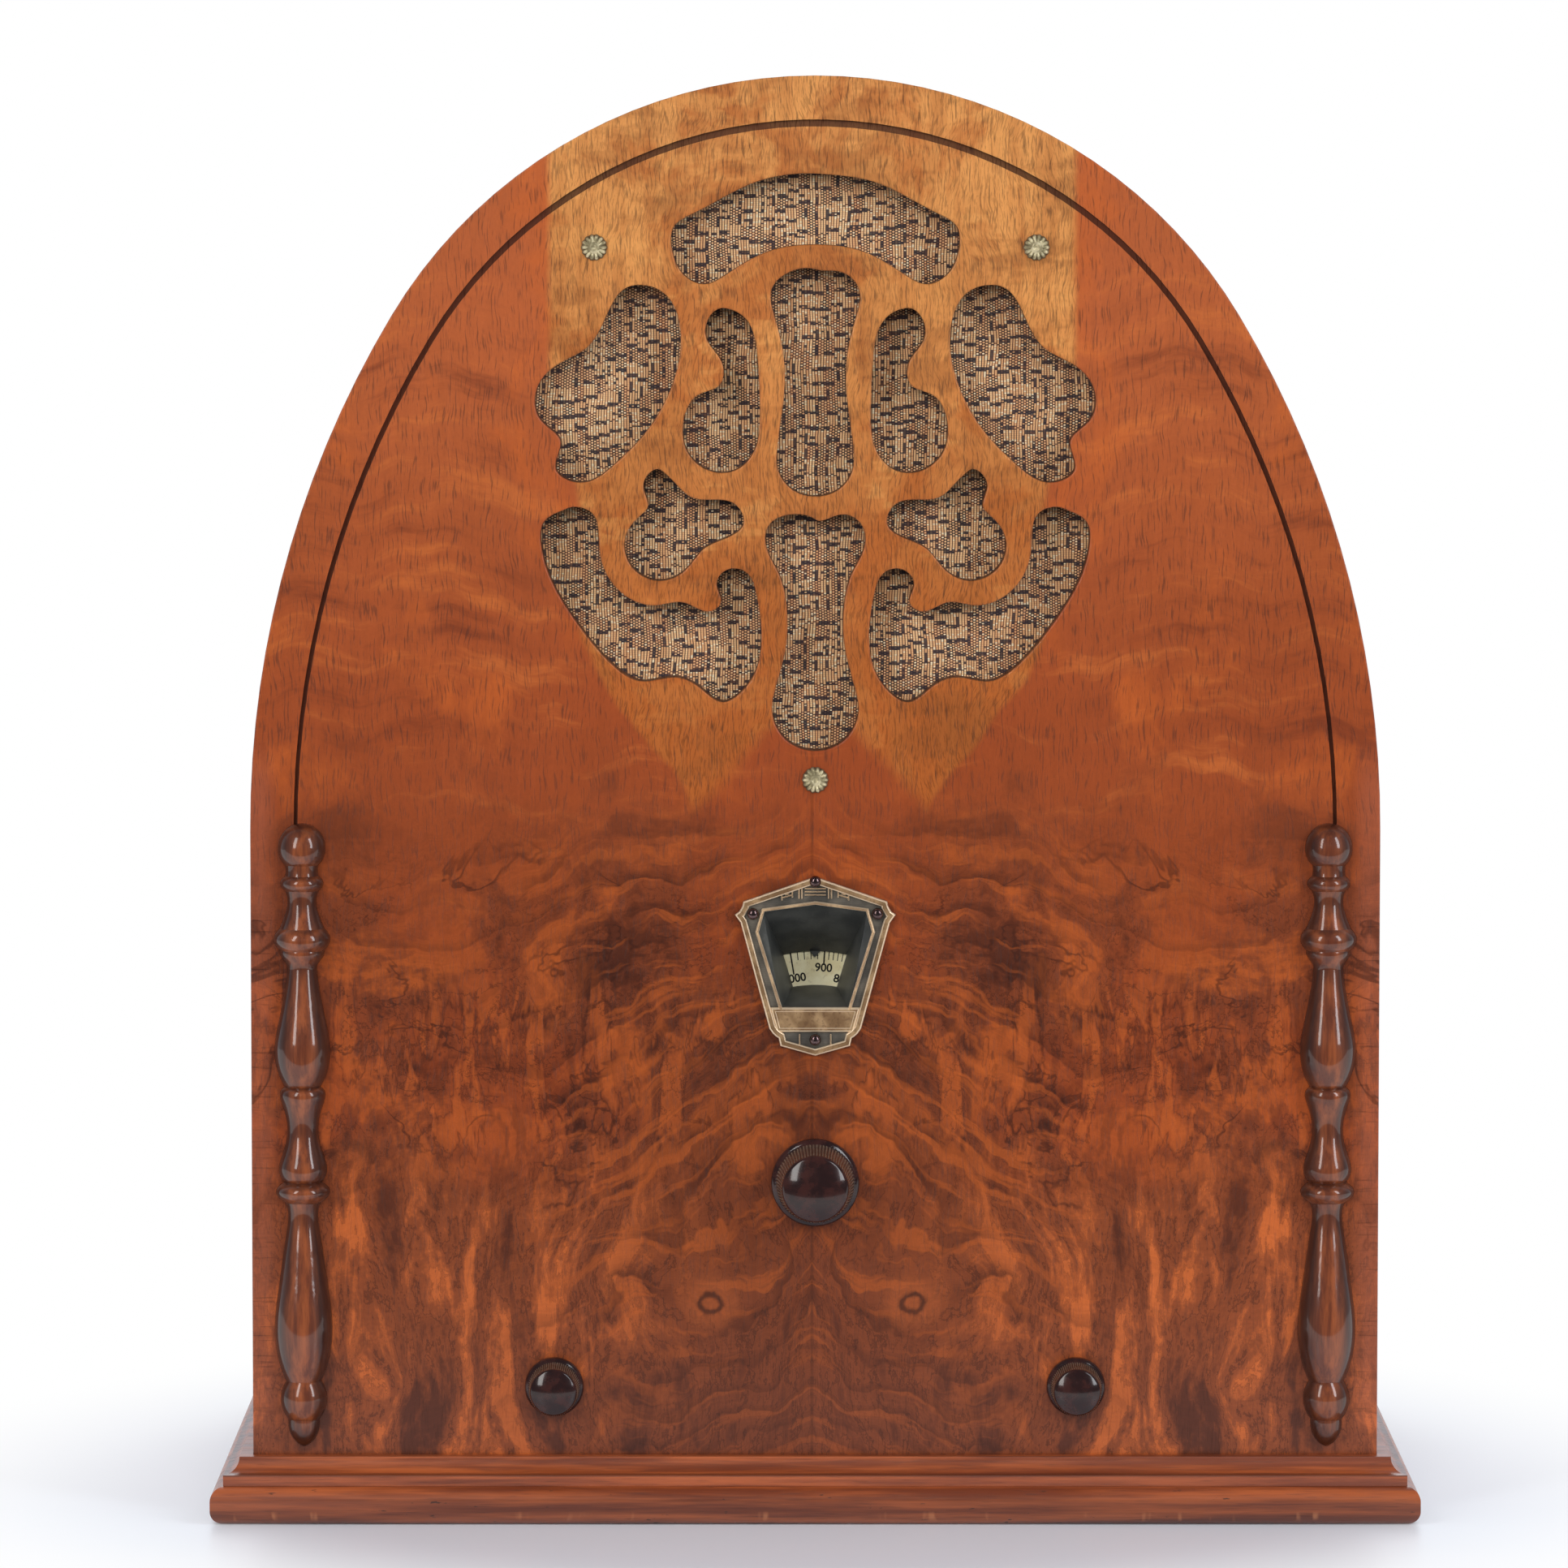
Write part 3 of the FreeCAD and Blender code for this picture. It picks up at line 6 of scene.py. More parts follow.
import bpy
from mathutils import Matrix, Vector

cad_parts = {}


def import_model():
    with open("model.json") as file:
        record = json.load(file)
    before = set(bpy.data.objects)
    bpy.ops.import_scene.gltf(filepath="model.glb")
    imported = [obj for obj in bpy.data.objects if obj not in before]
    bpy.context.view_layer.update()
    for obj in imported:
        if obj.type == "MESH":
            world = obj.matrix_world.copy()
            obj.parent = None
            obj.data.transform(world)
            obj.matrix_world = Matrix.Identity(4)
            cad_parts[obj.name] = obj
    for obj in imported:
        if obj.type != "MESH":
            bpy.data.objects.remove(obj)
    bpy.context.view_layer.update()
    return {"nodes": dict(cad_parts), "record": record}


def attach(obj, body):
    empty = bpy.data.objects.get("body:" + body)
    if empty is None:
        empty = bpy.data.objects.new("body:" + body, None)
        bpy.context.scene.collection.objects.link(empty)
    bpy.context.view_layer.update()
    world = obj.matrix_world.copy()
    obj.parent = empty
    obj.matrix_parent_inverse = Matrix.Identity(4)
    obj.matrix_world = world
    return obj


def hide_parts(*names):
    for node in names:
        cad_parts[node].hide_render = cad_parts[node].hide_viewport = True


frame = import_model()

MM = 0.001
FRONT_Y = -111.0
SPEAKER_Z = 333.0
BOLT_CIRCLE_RADIUS = 98.0
BOLT_SHANK_END_Y = -88.6
DIAL_Z = 130.5
SEAM_X = -1.0
BALUSTER_X = 161.8
ARCH_SPRING_Z = 240.0

SLOT_OF = {row["node"]: row["material_slot"] for row in frame["record"]["subparts"]}

# --- Procedural material helper ---


def srgb(red, green, blue):
    """Linear colour from 0..255 display values."""
    linear = []
    for value in (red, green, blue):
        v = value / 255
        linear.append(v / 12.92 if v <= 0.04045 else ((v + 0.055) / 1.055) ** 2.4)
    return (*linear, 1.0)


class Sig:
    """A number that varies over the surface, with ordinary arithmetic."""

    def __init__(self, net, socket):
        self.net = net
        self.socket = socket

    def op(self, kind, other=None):
        return self.net.math(kind, self, other)

    def __add__(self, other):
        return self.op("ADD", other)

    def __radd__(self, other):
        return self.op("ADD", other)

    def __sub__(self, other):
        return self.op("SUBTRACT", other)

    def __rsub__(self, other):
        return self.net.math("SUBTRACT", other, self)

    def __mul__(self, other):
        return self.op("MULTIPLY", other)

    def __rmul__(self, other):
        return self.op("MULTIPLY", other)

    def __truediv__(self, other):
        return self.op("DIVIDE", other)

    def __abs__(self):
        return self.op("ABSOLUTE")

    def floor(self):
        return self.op("FLOOR")

    def fract(self):
        return self.op("FRACT")

    def modulo(self, other):
        return self.op("FLOORED_MODULO", other)

    def less(self, other):
        return self.op("LESS_THAN", other)

    def more(self, other):
        return self.op("GREATER_THAN", other)

    def larger(self, other):
        return self.op("MAXIMUM", other)

    def step(self, low, high):
        """0 below low and 1 above high, or the other way round where low is above high."""
        return self.net.step(self, low, high)

    def inside(self, low, high, soft):
        """1 between low and high, falling to 0 over a soft edge."""
        return self.step(low - soft, low + soft) * self.step(high + soft, high - soft)


class Net:
    """One procedural material on a principled shader, in object millimetres."""

    def __init__(self, name, rough=0.5, metal=0.0, coat=0.0, coat_rough=0.1, sheen=0.0, specular=0.5):
        self.mat = bpy.data.materials.new(name)
        self.mat.use_nodes = True
        self.tree = self.mat.node_tree
        self.tree.nodes.clear()
        self.shader = self.tree.nodes.new("ShaderNodeBsdfPrincipled")
        out = self.tree.nodes.new("ShaderNodeOutputMaterial")
        self.tree.links.new(self.shader.outputs[0], out.inputs[0])
        coord = self.tree.nodes.new("ShaderNodeTexCoord").outputs["Object"]
        scaled = self.tree.nodes.new("ShaderNodeVectorMath")
        scaled.operation = "SCALE"
        self.tree.links.new(coord, scaled.inputs[0])
        scaled.inputs["Scale"].default_value = 1 / MM
        self.mm = scaled.outputs[0]
        self.x, self.y, self.z = self.split(self.mm)
        for socket, value in (("Roughness", rough), ("Metallic", metal), ("Coat Weight", coat),
                              ("Coat Roughness", coat_rough), ("Sheen Weight", sheen),
                              ("Specular IOR Level", specular)):
            self.shader.inputs[socket].default_value = value

    def put(self, socket, value):
        if isinstance(value, Sig):
            self.tree.links.new(value.socket, socket)
        elif isinstance(value, bpy.types.NodeSocket):
            self.tree.links.new(value, socket)
        elif value is not None:
            socket.default_value = value

    def split(self, vector):
        node = self.tree.nodes.new("ShaderNodeSeparateXYZ")
        self.tree.links.new(vector, node.inputs[0])
        return [Sig(self, out) for out in node.outputs]

    def vec(self, x=0.0, y=0.0, z=0.0):
        node = self.tree.nodes.new("ShaderNodeCombineXYZ")
        for socket, value in zip(node.inputs, (x, y, z)):
            self.put(socket, value)
        return node.outputs[0]

    def math(self, kind, a, b=None):
        node = self.tree.nodes.new("ShaderNodeMath")
        node.operation = kind
        for socket, value in zip(node.inputs, (a, b)):
            self.put(socket, value)
        return Sig(self, node.outputs[0])

    def step(self, value, low, high):
        node = self.tree.nodes.new("ShaderNodeMapRange")
        node.interpolation_type = "SMOOTHSTEP"
        flip = not isinstance(low, Sig) and not isinstance(high, Sig) and low > high
        if flip:
            low, high = high, low
        self.put(node.inputs["Value"], value)
        self.put(node.inputs["From Min"], low)
        self.put(node.inputs["From Max"], high)
        node.inputs["To Min"].default_value = 1.0 if flip else 0.0
        node.inputs["To Max"].default_value = 0.0 if flip else 1.0
        return Sig(self, node.outputs[0])

    def noise(self, x=0.0, y=0.0, z=0.0, detail=2.0, rough=0.5, bend=0.0):
        node = self.tree.nodes.new("ShaderNodeTexNoise")
        self.tree.links.new(self.vec(x, y, z), node.inputs["Vector"])
        node.inputs["Scale"].default_value = 1.0
        node.inputs["Detail"].default_value = detail
        node.inputs["Roughness"].default_value = rough
        node.inputs["Distortion"].default_value = bend
        return Sig(self, node.outputs["Fac"])

    def speckle(self, scale, detail=2.0, rough=0.5):
        """Even noise in all directions, in features of about 1 / scale mm."""
        return self.noise(self.x * scale, self.y * scale, self.z * scale, detail, rough)

    def dice(self, x, y, z=0.0):
        """A random number for each whole-number cell."""
        node = self.tree.nodes.new("ShaderNodeTexWhiteNoise")
        node.noise_dimensions = "3D"
        self.tree.links.new(self.vec(x, y, z), node.inputs["Vector"])
        return Sig(self, node.outputs["Value"])

    def mix(self, amount, first, second):
        node = self.tree.nodes.new("ShaderNodeMix")
        node.data_type = "RGBA"
        self.put(node.inputs[0], amount)
        self.put(node.inputs[6], first)
        self.put(node.inputs[7], second)
        return node.outputs[2]

    def shade(self, colour, gain):
        """Colour made darker or lighter by a varying gain."""
        node = self.tree.nodes.new("ShaderNodeVectorMath")
        node.operation = "SCALE"
        self.put(node.inputs[0], colour)
        self.put(node.inputs["Scale"], gain)
        return node.outputs[0]

    def colour(self, value):
        self.put(self.shader.inputs["Base Color"], value)

    def rough(self, value):
        self.put(self.shader.inputs["Roughness"], value)

    def bump(self, height, depth, strength=1.0):
        """Relief: height runs 0..1 and stands for depth millimetres."""
        node = self.tree.nodes.new("ShaderNodeBump")
        node.inputs["Strength"].default_value = strength
        node.inputs["Distance"].default_value = depth * MM
        self.put(node.inputs["Height"], height)
        self.tree.links.new(node.outputs[0], self.shader.inputs["Normal"])

    def normal(self):
        node = self.tree.nodes.new("ShaderNodeNewGeometry")
        return self.split(node.outputs["Normal"])


# --- Wood ---


def golden_zone(net, u):
    """1 over the pale sapwood figure behind the fret, with two tapering lobes below."""
    z = net.z
    jitter = (net.noise(net.x * 0.05, 0.0, z * 0.05, 2) - 0.5) * 9
    width = 73 + z.step(318, 366) * 9.5 - z.step(285, 218) * 36
    low_edge = z.step(300, 270)
    side = (u - width + jitter * low_edge).step(1.6, -1.6)
    centre = (u + z + jitter - 262).step(-3, 7)
    bottom = (z + jitter * 0.8).step(216, 224)
    return side * centre * bottom


def red_field(net, u):
    """Red-brown wood round the fret, with slow curl and warm clouds."""
    z = net.z
    red = net.mix(z.step(235, 390), srgb(142, 66, 32), srgb(164, 84, 44))
    curl = net.noise(net.x * 0.014, 0.0, z * 0.08 + net.noise(u * 0.02) * 3, 5, 0.66)
    smoke = curl.step(0.5, 0.7) * u.step(70, 110) * z.inside(235, 385, 25)
    red = net.mix(smoke * 0.7, red, srgb(100, 44, 26))
    red = net.mix(curl.step(0.48, 0.3) * 0.5, red, srgb(194, 106, 50))
    cloud = net.noise(u * 0.03, 12.0, z * 0.022, 4, 0.6, 0.4)
    return net.mix(cloud.step(0.52, 0.68) * 0.5, red, srgb(186, 92, 38))


def smoky_burl(net, u, drift, mottle, swirl):
    """Burl of the middle: dark and light clouds with thin dark edges, calmer towards the top."""
    z = net.z
    burl = net.mix(swirl.step(0.37, 0.48), srgb(74, 36, 24), srgb(122, 59, 33))
    burl = net.mix(swirl.step(0.5, 0.6), burl, srgb(164, 80, 36))
    burl = net.mix((drift + mottle * 0.3).step(0.62, 0.78) * 0.5, burl, srgb(150, 66, 30))
    burl = net.mix(u.step(80, 10) * z.inside(80, 175, 25) * 0.45, burl, srgb(88, 45, 28))
    tongue = net.noise(u * 0.1, 2.2, z * 0.032 + drift * 2, 4, 0.6, 0.3)
    spots = z.inside(90, 172, 16)
    burl = net.mix(tongue.step(0.54, 0.6) * spots * 0.6, burl, srgb(176, 86, 38))
    burl = net.mix(tongue.step(0.45, 0.38) * spots * 0.4, burl, srgb(72, 35, 24))
    rim = abs(tongue - 0.53).step(0.014, 0.003) * spots
    cloud_edge = abs(swirl - 0.475).step(0.011, 0.002)
    burl = net.mix((cloud_edge * 0.5).larger(rim * 0.4), burl, srgb(50, 24, 17))
    return net.mix(z.step(165, 232) * 0.55, burl, srgb(142, 68, 35))


def flamed_foot(net, u, drift, mottle):
    """Upright flames at the foot, darker towards the seam, each with a dark side."""
    flame = net.noise(u * 0.07 + drift * 3, 4.1, net.z * 0.019, 6, 0.62, 0.4) * 0.8 + mottle * 0.2
    foot = net.mix(flame.step(0.37, 0.49), srgb(84, 41, 26), srgb(132, 66, 36))
    foot = net.mix(flame.step(0.51, 0.58) * u.step(20, 70), foot, srgb(184, 94, 46))
    foot = net.mix(u.step(80, 20) * 0.4, foot, srgb(94, 46, 29))
    dark_side = abs(flame - 0.485).step(0.013, 0.002).larger(abs(flame - 0.56).step(0.008, 0.002) * 0.7)
    return net.mix(dark_side * 0.5, foot, srgb(52, 25, 18))


def veneer_base(net, u, drift):
    """Foot, burl and red field, one above the other with ragged borders, and a painted reflection along
    the side edges.
    """
    z = net.z
    mottle = net.noise(u * 0.2, 9.4, z * 0.15, 5, 0.68, 0.4)
    swirl = net.noise(u * 0.04 + drift * 3, 1.7, z * 0.05, 6, 0.62, 0.5) * 0.76 + mottle * 0.24
    burl = smoky_burl(net, u, drift, mottle, swirl)
    foot = flamed_foot(net, u, drift, mottle)
    lower = net.mix((z + (drift - 0.5) * 50).step(130, 92), burl, foot)
    border = z + (swirl - 0.5) * 190 + (drift - 0.5) * 60
    base = net.mix(border.step(250, 190), red_field(net, u), lower)
    # Painted reflection: paler colour along the left and right edges of the front.
    painted_edge_reflection = abs(net.x).step(168, 175) * z.inside(30, 240, 12) * 0.45
    return net.mix(painted_edge_reflection, base, srgb(160, 90, 66))


def ink_lines(net, u):
    """Thin dark edges round the burl clouds."""
    field = net.noise(u * 0.026, 7.7, net.z * 0.03, 4, 0.6, 0.9)
    line = abs(field - 0.5).step(0.02, 0.003)
    broken = net.noise(u * 0.04, 3.3, net.z * 0.04, 1).step(0.44, 0.58)
    return line * broken * net.z.step(224, 200) * net.z.step(70, 110) * u.step(20, 45)


def knots(net, u):
    """A small eye each side of the seam."""
    du = u - 32
    dz = (net.z - 69) * 1.15
    radius = net.math("SQRT", du * du + dz * dz) + (net.speckle(0.4, 1) - 0.5) * 2
    ring = radius.inside(2.4, 4.2, 0.8)
    glow = radius.step(13, 5) * 0.5
    return ring, glow


def growth_lines(net, u, drift):
    """Figure that sweeps up to the seam: dark edges fading to one side, fibres, paler drifts."""
    z = net.z
    ripple = net.noise(u * 0.045, 2.0, z * 0.045, 3, 0.55)
    sweep = z + u * 0.62 - u * u * 0.0022 + (drift - 0.5) * 60 + (ripple - 0.5) * 22
    spacing = sweep * (0.075 + 0.03 * z.step(110, 40))
    turn = spacing.fract()
    edge = turn.step(0.5, 0.0) * turn.step(0.0, 0.08)
    broken = net.noise(u * 0.03, 8.8, z * 0.035, 2).step(0.42, 0.6)
    fibres = net.noise(sweep, 3.0, u * 0.07, 3, 0.68)
    pale = net.noise(sweep * 0.2, 7.0, u * 0.028, 3, 0.6).step(0.5, 0.62)
    return edge * broken, fibres, pale


def sapwood(net):
    """Pale golden wood behind the fret, browner lower down, with curl and dark fibres."""
    x, z = net.x, net.z
    streak = net.noise(x * 0.13, 5.0, z * 0.012, 4, 0.65)
    patch = net.noise(x * 0.03, 2.5, z * 0.03, 5, 0.64, 0.5)
    curl = net.noise(x * 0.03 + patch * 2, 4.4, z * 0.07, 4, 0.62)
    pale = net.mix(z.step(245, 440), srgb(158, 84, 36), srgb(202, 138, 76))
    pale = net.mix(streak.step(0.4, 0.66) * 0.5, pale, srgb(156, 90, 42))
    pale = net.mix(patch.step(0.48, 0.6) * 0.65, pale, srgb(156, 82, 34))
    pale = net.mix(curl.step(0.5, 0.64) * 0.45, pale, srgb(128, 72, 34))
    pale = net.mix(curl.step(0.44, 0.34) * (0.1 + z.step(260, 330) * 0.3), pale, srgb(212, 150, 84))
    around = net.noise(x * 0.028, 1.3, z * 0.028, 2) * 30
    fibre = net.noise(x * 1.6 + around, 0.0, z * 0.2, 3, 0.65).step(0.5, 0.6)
    return net.shade(pale, 1.08 - fibre * 0.36)


def figured_wood(net, u, lower_field):
    """The veneer outside the pale zone, with its lines, sweeps and two eyes."""
    drift = net.noise(u * 0.013, 6.6, net.z * 0.015, 2)
    base = veneer_base(net, u, drift)
    base = net.mix(ink_lines(net, u) * 0.6, base, srgb(56, 26, 18))
    edge, fibres, drifts = growth_lines(net, u, drift)
    centre = u.step(110, 55) * lower_field * (1 - net.z.step(80, 40) * 0.5)
    base = net.mix(drifts * centre * 0.42, base, srgb(186, 92, 38))
    ring, glow = knots(net, u)
    base = net.mix(glow, base, srgb(168, 86, 44))
    base = net.mix(ring * 0.8, base, srgb(58, 30, 22))
    base = net.mix(edge * (0.3 + centre * 0.3) * lower_field, base, srgb(58, 27, 19))
    return net.shade(base, 1 + (fibres - 0.5) * lower_field * 0.5)


def veneer_pores(net):
    """Short upright pores, gently swayed."""
    wiggle = net.noise(net.x * 0.05, 3.0, net.z * 0.05, 2) * 9
    return net.noise(net.x * 1.7 + wiggle, 0.0, net.z * 0.13, 2, 0.6).step(0.53, 0.66)


def veneer_gain(net, pore, lower_field):
    """Lightness from grain, pores, the darker lower half, the seam and the ticks at the edges."""
    x, z = net.x, net.z
    grain = net.noise(x * 0.5, 0.0, z * 0.03, 3)
    gain = (0.86 + grain * 0.28) * (1 - pore * (0.18 + 0.28 * z.step(190, 260)))
    gain = gain * (0.84 + net.noise(x * 1.5, 1.0, z * 0.6, 3, 0.7) * 0.32)
    gain = gain * (1 - lower_field * (0.2 - x.step(-2, 2) * 0.09 - abs(x).step(90, 150) * 0.05))
    gain = gain * (0.88 + net.noise(x * 0.016, 8.0, z * 0.02, 2) * 0.24)
    seam = abs(x - SEAM_X).step(0.75, 0.1) * (z.inside(205, 246, 2) + z.inside(10, 148, 2))
    gain = gain * (1 - seam * 0.24)
    ticks = net.noise(x * 0.05, 1.0, z * 1.1, 2).step(0.58, 0.68)
    return gain * (1 - ticks * abs(x).step(169, 173) * z.inside(35, 195, 8) * 0.35)


def front_veneer():
    """Book-matched walnut: mirrored about the seam, lacquered, dark inside the sawn edges."""
    net = Net("front_veneer", rough=0.3, coat=0.12, coat_rough=0.2, specular=0.3)
    x, z = net.x, net.z
    sway = (net.noise(x * 0.015, 0.0, z * 0.012, 1) - 0.5) * 5
    u = abs(x - SEAM_X + sway * z.step(300, 240) * abs(x).step(0, 30))
    lower_field = z.step(238, 205)
    colour = net.mix(golden_zone(net, u), figured_wood(net, u, lower_field), sapwood(net))
    pore = veneer_pores(net)
    colour = net.shade(colour, veneer_gain(net, pore, lower_field))
    depth = net.y.step(FRONT_Y + 0.1, FRONT_Y + 1.2)
    net.colour(net.mix(depth * 0.82, colour, srgb(52, 27, 20)))
    net.rough(0.25 + pore * 0.25 + net.noise(x * 0.03, 0.0, z * 0.03, 2) * 0.12 + depth * 0.3)
    net.bump((1 - pore * 0.8) + net.noise(x * 0.2, 0.0, z * 0.1, 2) * 0.6, 0.05, 0.6)
    return net.mat


def side_veneer():
    """Walnut bent round the arch, plain ply inside, plies on the back edge."""
    net = Net("side_veneer", rough=0.42, coat=0.2, coat_rough=0.28)
    x, y, z = net.x, net.y, net.z
    along = net.noise(y * 0.09, x * 0.006, z * 0.006, 4, 0.6, 0.5)
    curl = net.noise(y * 0.012, x * 0.03, z * 0.05, 3)
    skin = net.mix(along.step(0.36, 0.66), srgb(104, 52, 34), srgb(156, 82, 46))
    skin = net.mix(curl.step(0.5, 0.7) * 0.4, skin, srgb(90, 44, 30))
    pore = net.noise(y * 2.6, x * 0.12, z * 0.12, 1.5).step(0.57, 0.68)
    skin = net.shade(skin, 1 - pore * 0.3)
    n_x, n_y, n_z = net.normal()
    above = z - ARCH_SPRING_Z
    outward = n_x * x + n_z * above
    inner = outward.step(4, -4) * abs(n_y).step(0.6, 0.4)
    ply = net.mix(net.noise(y * 0.5, x * 0.02, z * 0.02, 2), srgb(134, 96, 62), srgb(166, 124, 82))
    ply = net.mix(net.speckle(0.012, 3).step(0.5, 0.7) * 0.5, ply, srgb(98, 70, 48))
    radius = net.math("SQRT", x * x + above.larger(0.0) * above.larger(0.0))
    layers = (radius * 0.62).fract().step(0.42, 0.5)
    rim = net.mix(layers, srgb(116, 70, 44), srgb(150, 104, 66))
    colour = net.mix(inner, skin, ply)
    colour = net.mix(n_y.step(0.6, 0.8), colour, rim)
    net.colour(colour)
    net.rough(0.38 + pore * 0.2 + inner * 0.3 + net.speckle(0.03, 2) * 0.12)
    net.bump(1 - pore + net.speckle(0.3, 2) * 0.4, 0.05, 0.6)
    return net.mat


def base_wood():
    """Reddish brown moulding with long streaks and a few worn nicks, and painted shade on the lower tier.
    """
    net = Net("base_wood", rough=0.36, coat=0.3, coat_rough=0.2)
    x, y, z = net.x, net.y, net.z
    streak = net.noise(x * 0.012, y * 0.16, z * 0.3, 4, 0.6)
    tone = net.mix(streak.step(0.35, 0.68), srgb(106, 48, 25), srgb(168, 86, 44))
    # Painted shade: the lower tier darker below about 9 mm.
    tone = net.shade(tone, 1 - z.step(10.5, 7.5) * 0.34)
    patch = net.noise(x * 0.004, y * 0.05, z * 0.05, 2).step(0.45, 0.65)
    tone = net.mix(patch * 0.4, tone, srgb(132, 68, 44))
    fine = net.noise(x * 0.1, y * 2.0, z * 2.4, 2).step(0.56, 0.7)
    tone = net.shade(tone, 1 - fine * 0.22)
    nick = net.noise(x * 0.11, y * 0.1, z * 0.5, 3, 0.7).step(0.66, 0.7) * z.step(13, 9)
    tone = net.mix(nick * 0.85, tone, srgb(46, 28, 22))
    worn = net.noise(x * 0.2, y * 0.1, 2.0, 2).step(0.6, 0.7) * z.inside(1.5, 4.0, 1.0)
    tone = net.mix(worn * 0.5, tone, srgb(176, 112, 72))
    tone = net.mix(z.inside(15.0, 15.8, 0.3) * 0.6, tone, srgb(44, 22, 17))
    net.colour(tone)
    net.rough(0.3 + fine * 0.2 + net.speckle(0.08, 2) * 0.16 + nick * 0.3)
    net.bump(1 - nick - fine * 0.3, 0.12, 0.5)
    return net.mat


def turned_wood():
    """Dark glossy walnut turnings, with painted shade darkest in the necks, where they meet the panel and
    on their upward faces.
    """
    net = Net("turned_wood", rough=0.4, coat=1.0, coat_rough=0.09, specular=0.2)
    x, y, z = net.x, net.y, net.z
    streak = net.noise(x * 0.35, y * 0.35, z * 0.03, 3, 0.6)
    tone = net.mix(streak.step(0.35, 0.7), srgb(90, 43, 25), srgb(138, 72, 38))
    fine = net.noise(x * 2, y * 2, z * 0.16, 2).step(0.56, 0.68)
    tone = net.shade(tone, 1 - fine * 0.2)
    from_axis = abs(x) - BALUSTER_X
    from_panel = y - FRONT_Y
    across = net.math("SQRT", from_axis * from_axis + from_panel * from_panel)
    sideways, _, upward = net.normal()
    neck_shade = across.step(5.8, 3.8) * 0.8
    flank_shade = abs(sideways).step(0.26, 0.78) * 0.88
    # Painted shade: darker in the necks, on the flanks beside the panel and on faces turned upwards.
    stain = neck_shade.larger(flank_shade).larger(upward.step(0.35, 0.9) * 0.7)
    tone = net.mix(stain, tone, srgb(36, 19, 16))
    net.colour(tone)
    net.rough(0.36 + fine * 0.1 + net.speckle(0.12, 2) * 0.1)
    net.bump(net.noise(x * 0.4, y * 0.4, z * 0.2, 3) - fine * 0.3, 0.03, 0.25)
    return net.mat


def plain_wood():
    """Unfinished board and blocks inside."""
    net = Net("plain_wood", rough=0.8)
    x, y, z = net.x, net.y, net.z
    grain = net.noise(x * 0.02, y * 0.4, z * 0.25, 4, 0.6)
    tone = net.mix(grain.step(0.3, 0.7), srgb(128, 92, 60), srgb(172, 132, 88))
    tone = net.mix(net.speckle(0.015, 3).step(0.5, 0.7) * 0.4, tone, srgb(96, 68, 46))
    net.colour(tone)
    net.bump(grain + net.speckle(1.2, 2) * 0.5, 0.15, 0.6)
    return net.mat


# --- Cloth ---

THREAD = 0.86
PICK = 0.43


def grille_fabric():
    """Jacquard grille cloth: tan bead-like warp, dark weft floats in a small broken figure."""
    net = Net("grille_fabric", rough=0.85, sheen=0.1)
    wobble = (net.noise(net.x * 0.05, 0.0, net.z * 0.05, 2) - 0.5) * 2.4
    across = (net.x + wobble) / THREAD
    up = (net.z + wobble * 0.7) / PICK
    column = across.floor()
    row = up.floor()
    in_column = across.fract() - 0.5
    in_row = up.fract() - 0.5
    group = ((column + (net.dice((row / 23).floor(), 1.0) * 4).floor()) / 4).floor()
    slid = row + (net.dice(group, 3.0) * 11).floor()
    band = (slid / 11).floor()
    kind = net.dice(group, band)
    twist = net.dice(group, band, 5.0)
    local_z = slid.modulo(11)
    local_x = column.modulo(4)
    odd = (column + row).modulo(2).less(0.5)
    bead = (in_column * in_column * 4.4 + in_row * in_row * 2.0).step(1.0, 0.35)
    plain = bead * (odd * 0.88 + 0.12)
    rungs = 0.5 + 0.5 * abs(in_row).step(0.5, 0.2)
    thread = abs(in_column).step(0.48, 0.22) * rungs
    floating = kind.more(0.42) * local_z.more(1.5)
    pattern = plain * (1 - floating) + thread * floating
    bar = local_z.less(2.5) * twist.more(0.45)
    side = local_x.less(0.5) * twist.less(0.4) * local_z.less(7.5)
    hook = local_z.inside(4.6, 6.4, 0.1) * kind.more(0.8) * local_x.more(1.5)
    crumble = net.dice(column, row, 7.0).more(0.22)
    cover = bar.larger(side).larger(hook) * (0.3 + crumble * 0.7)
    pattern = pattern * (1 - cover * 0.92)
    age = net.noise(net.x * 0.02, 4.0, net.z * 0.02, 2)
    hue = net.dice(column, 8.0)
    tan = net.mix(hue * 0.6 + age * 0.4, srgb(222, 158, 106), srgb(255, 214, 162))
    tan = net.mix(net.dice(column, row, 2.0).more(0.86) * 0.8, tan, srgb(255, 240, 204))
    dark = net.mix(net.dice(column, band, 9.0).more(0.5), srgb(54, 34, 33), srgb(96, 54, 42))
    dark = net.mix(cover * 0.85, dark, srgb(34, 31, 42))
    net.colour(net.mix(pattern, dark, tan))
    net.bump(pattern * 0.8 + cover * 0.35, 0.22, 0.9)
    return net.mat


# --- Metals, plastics and the rest ---


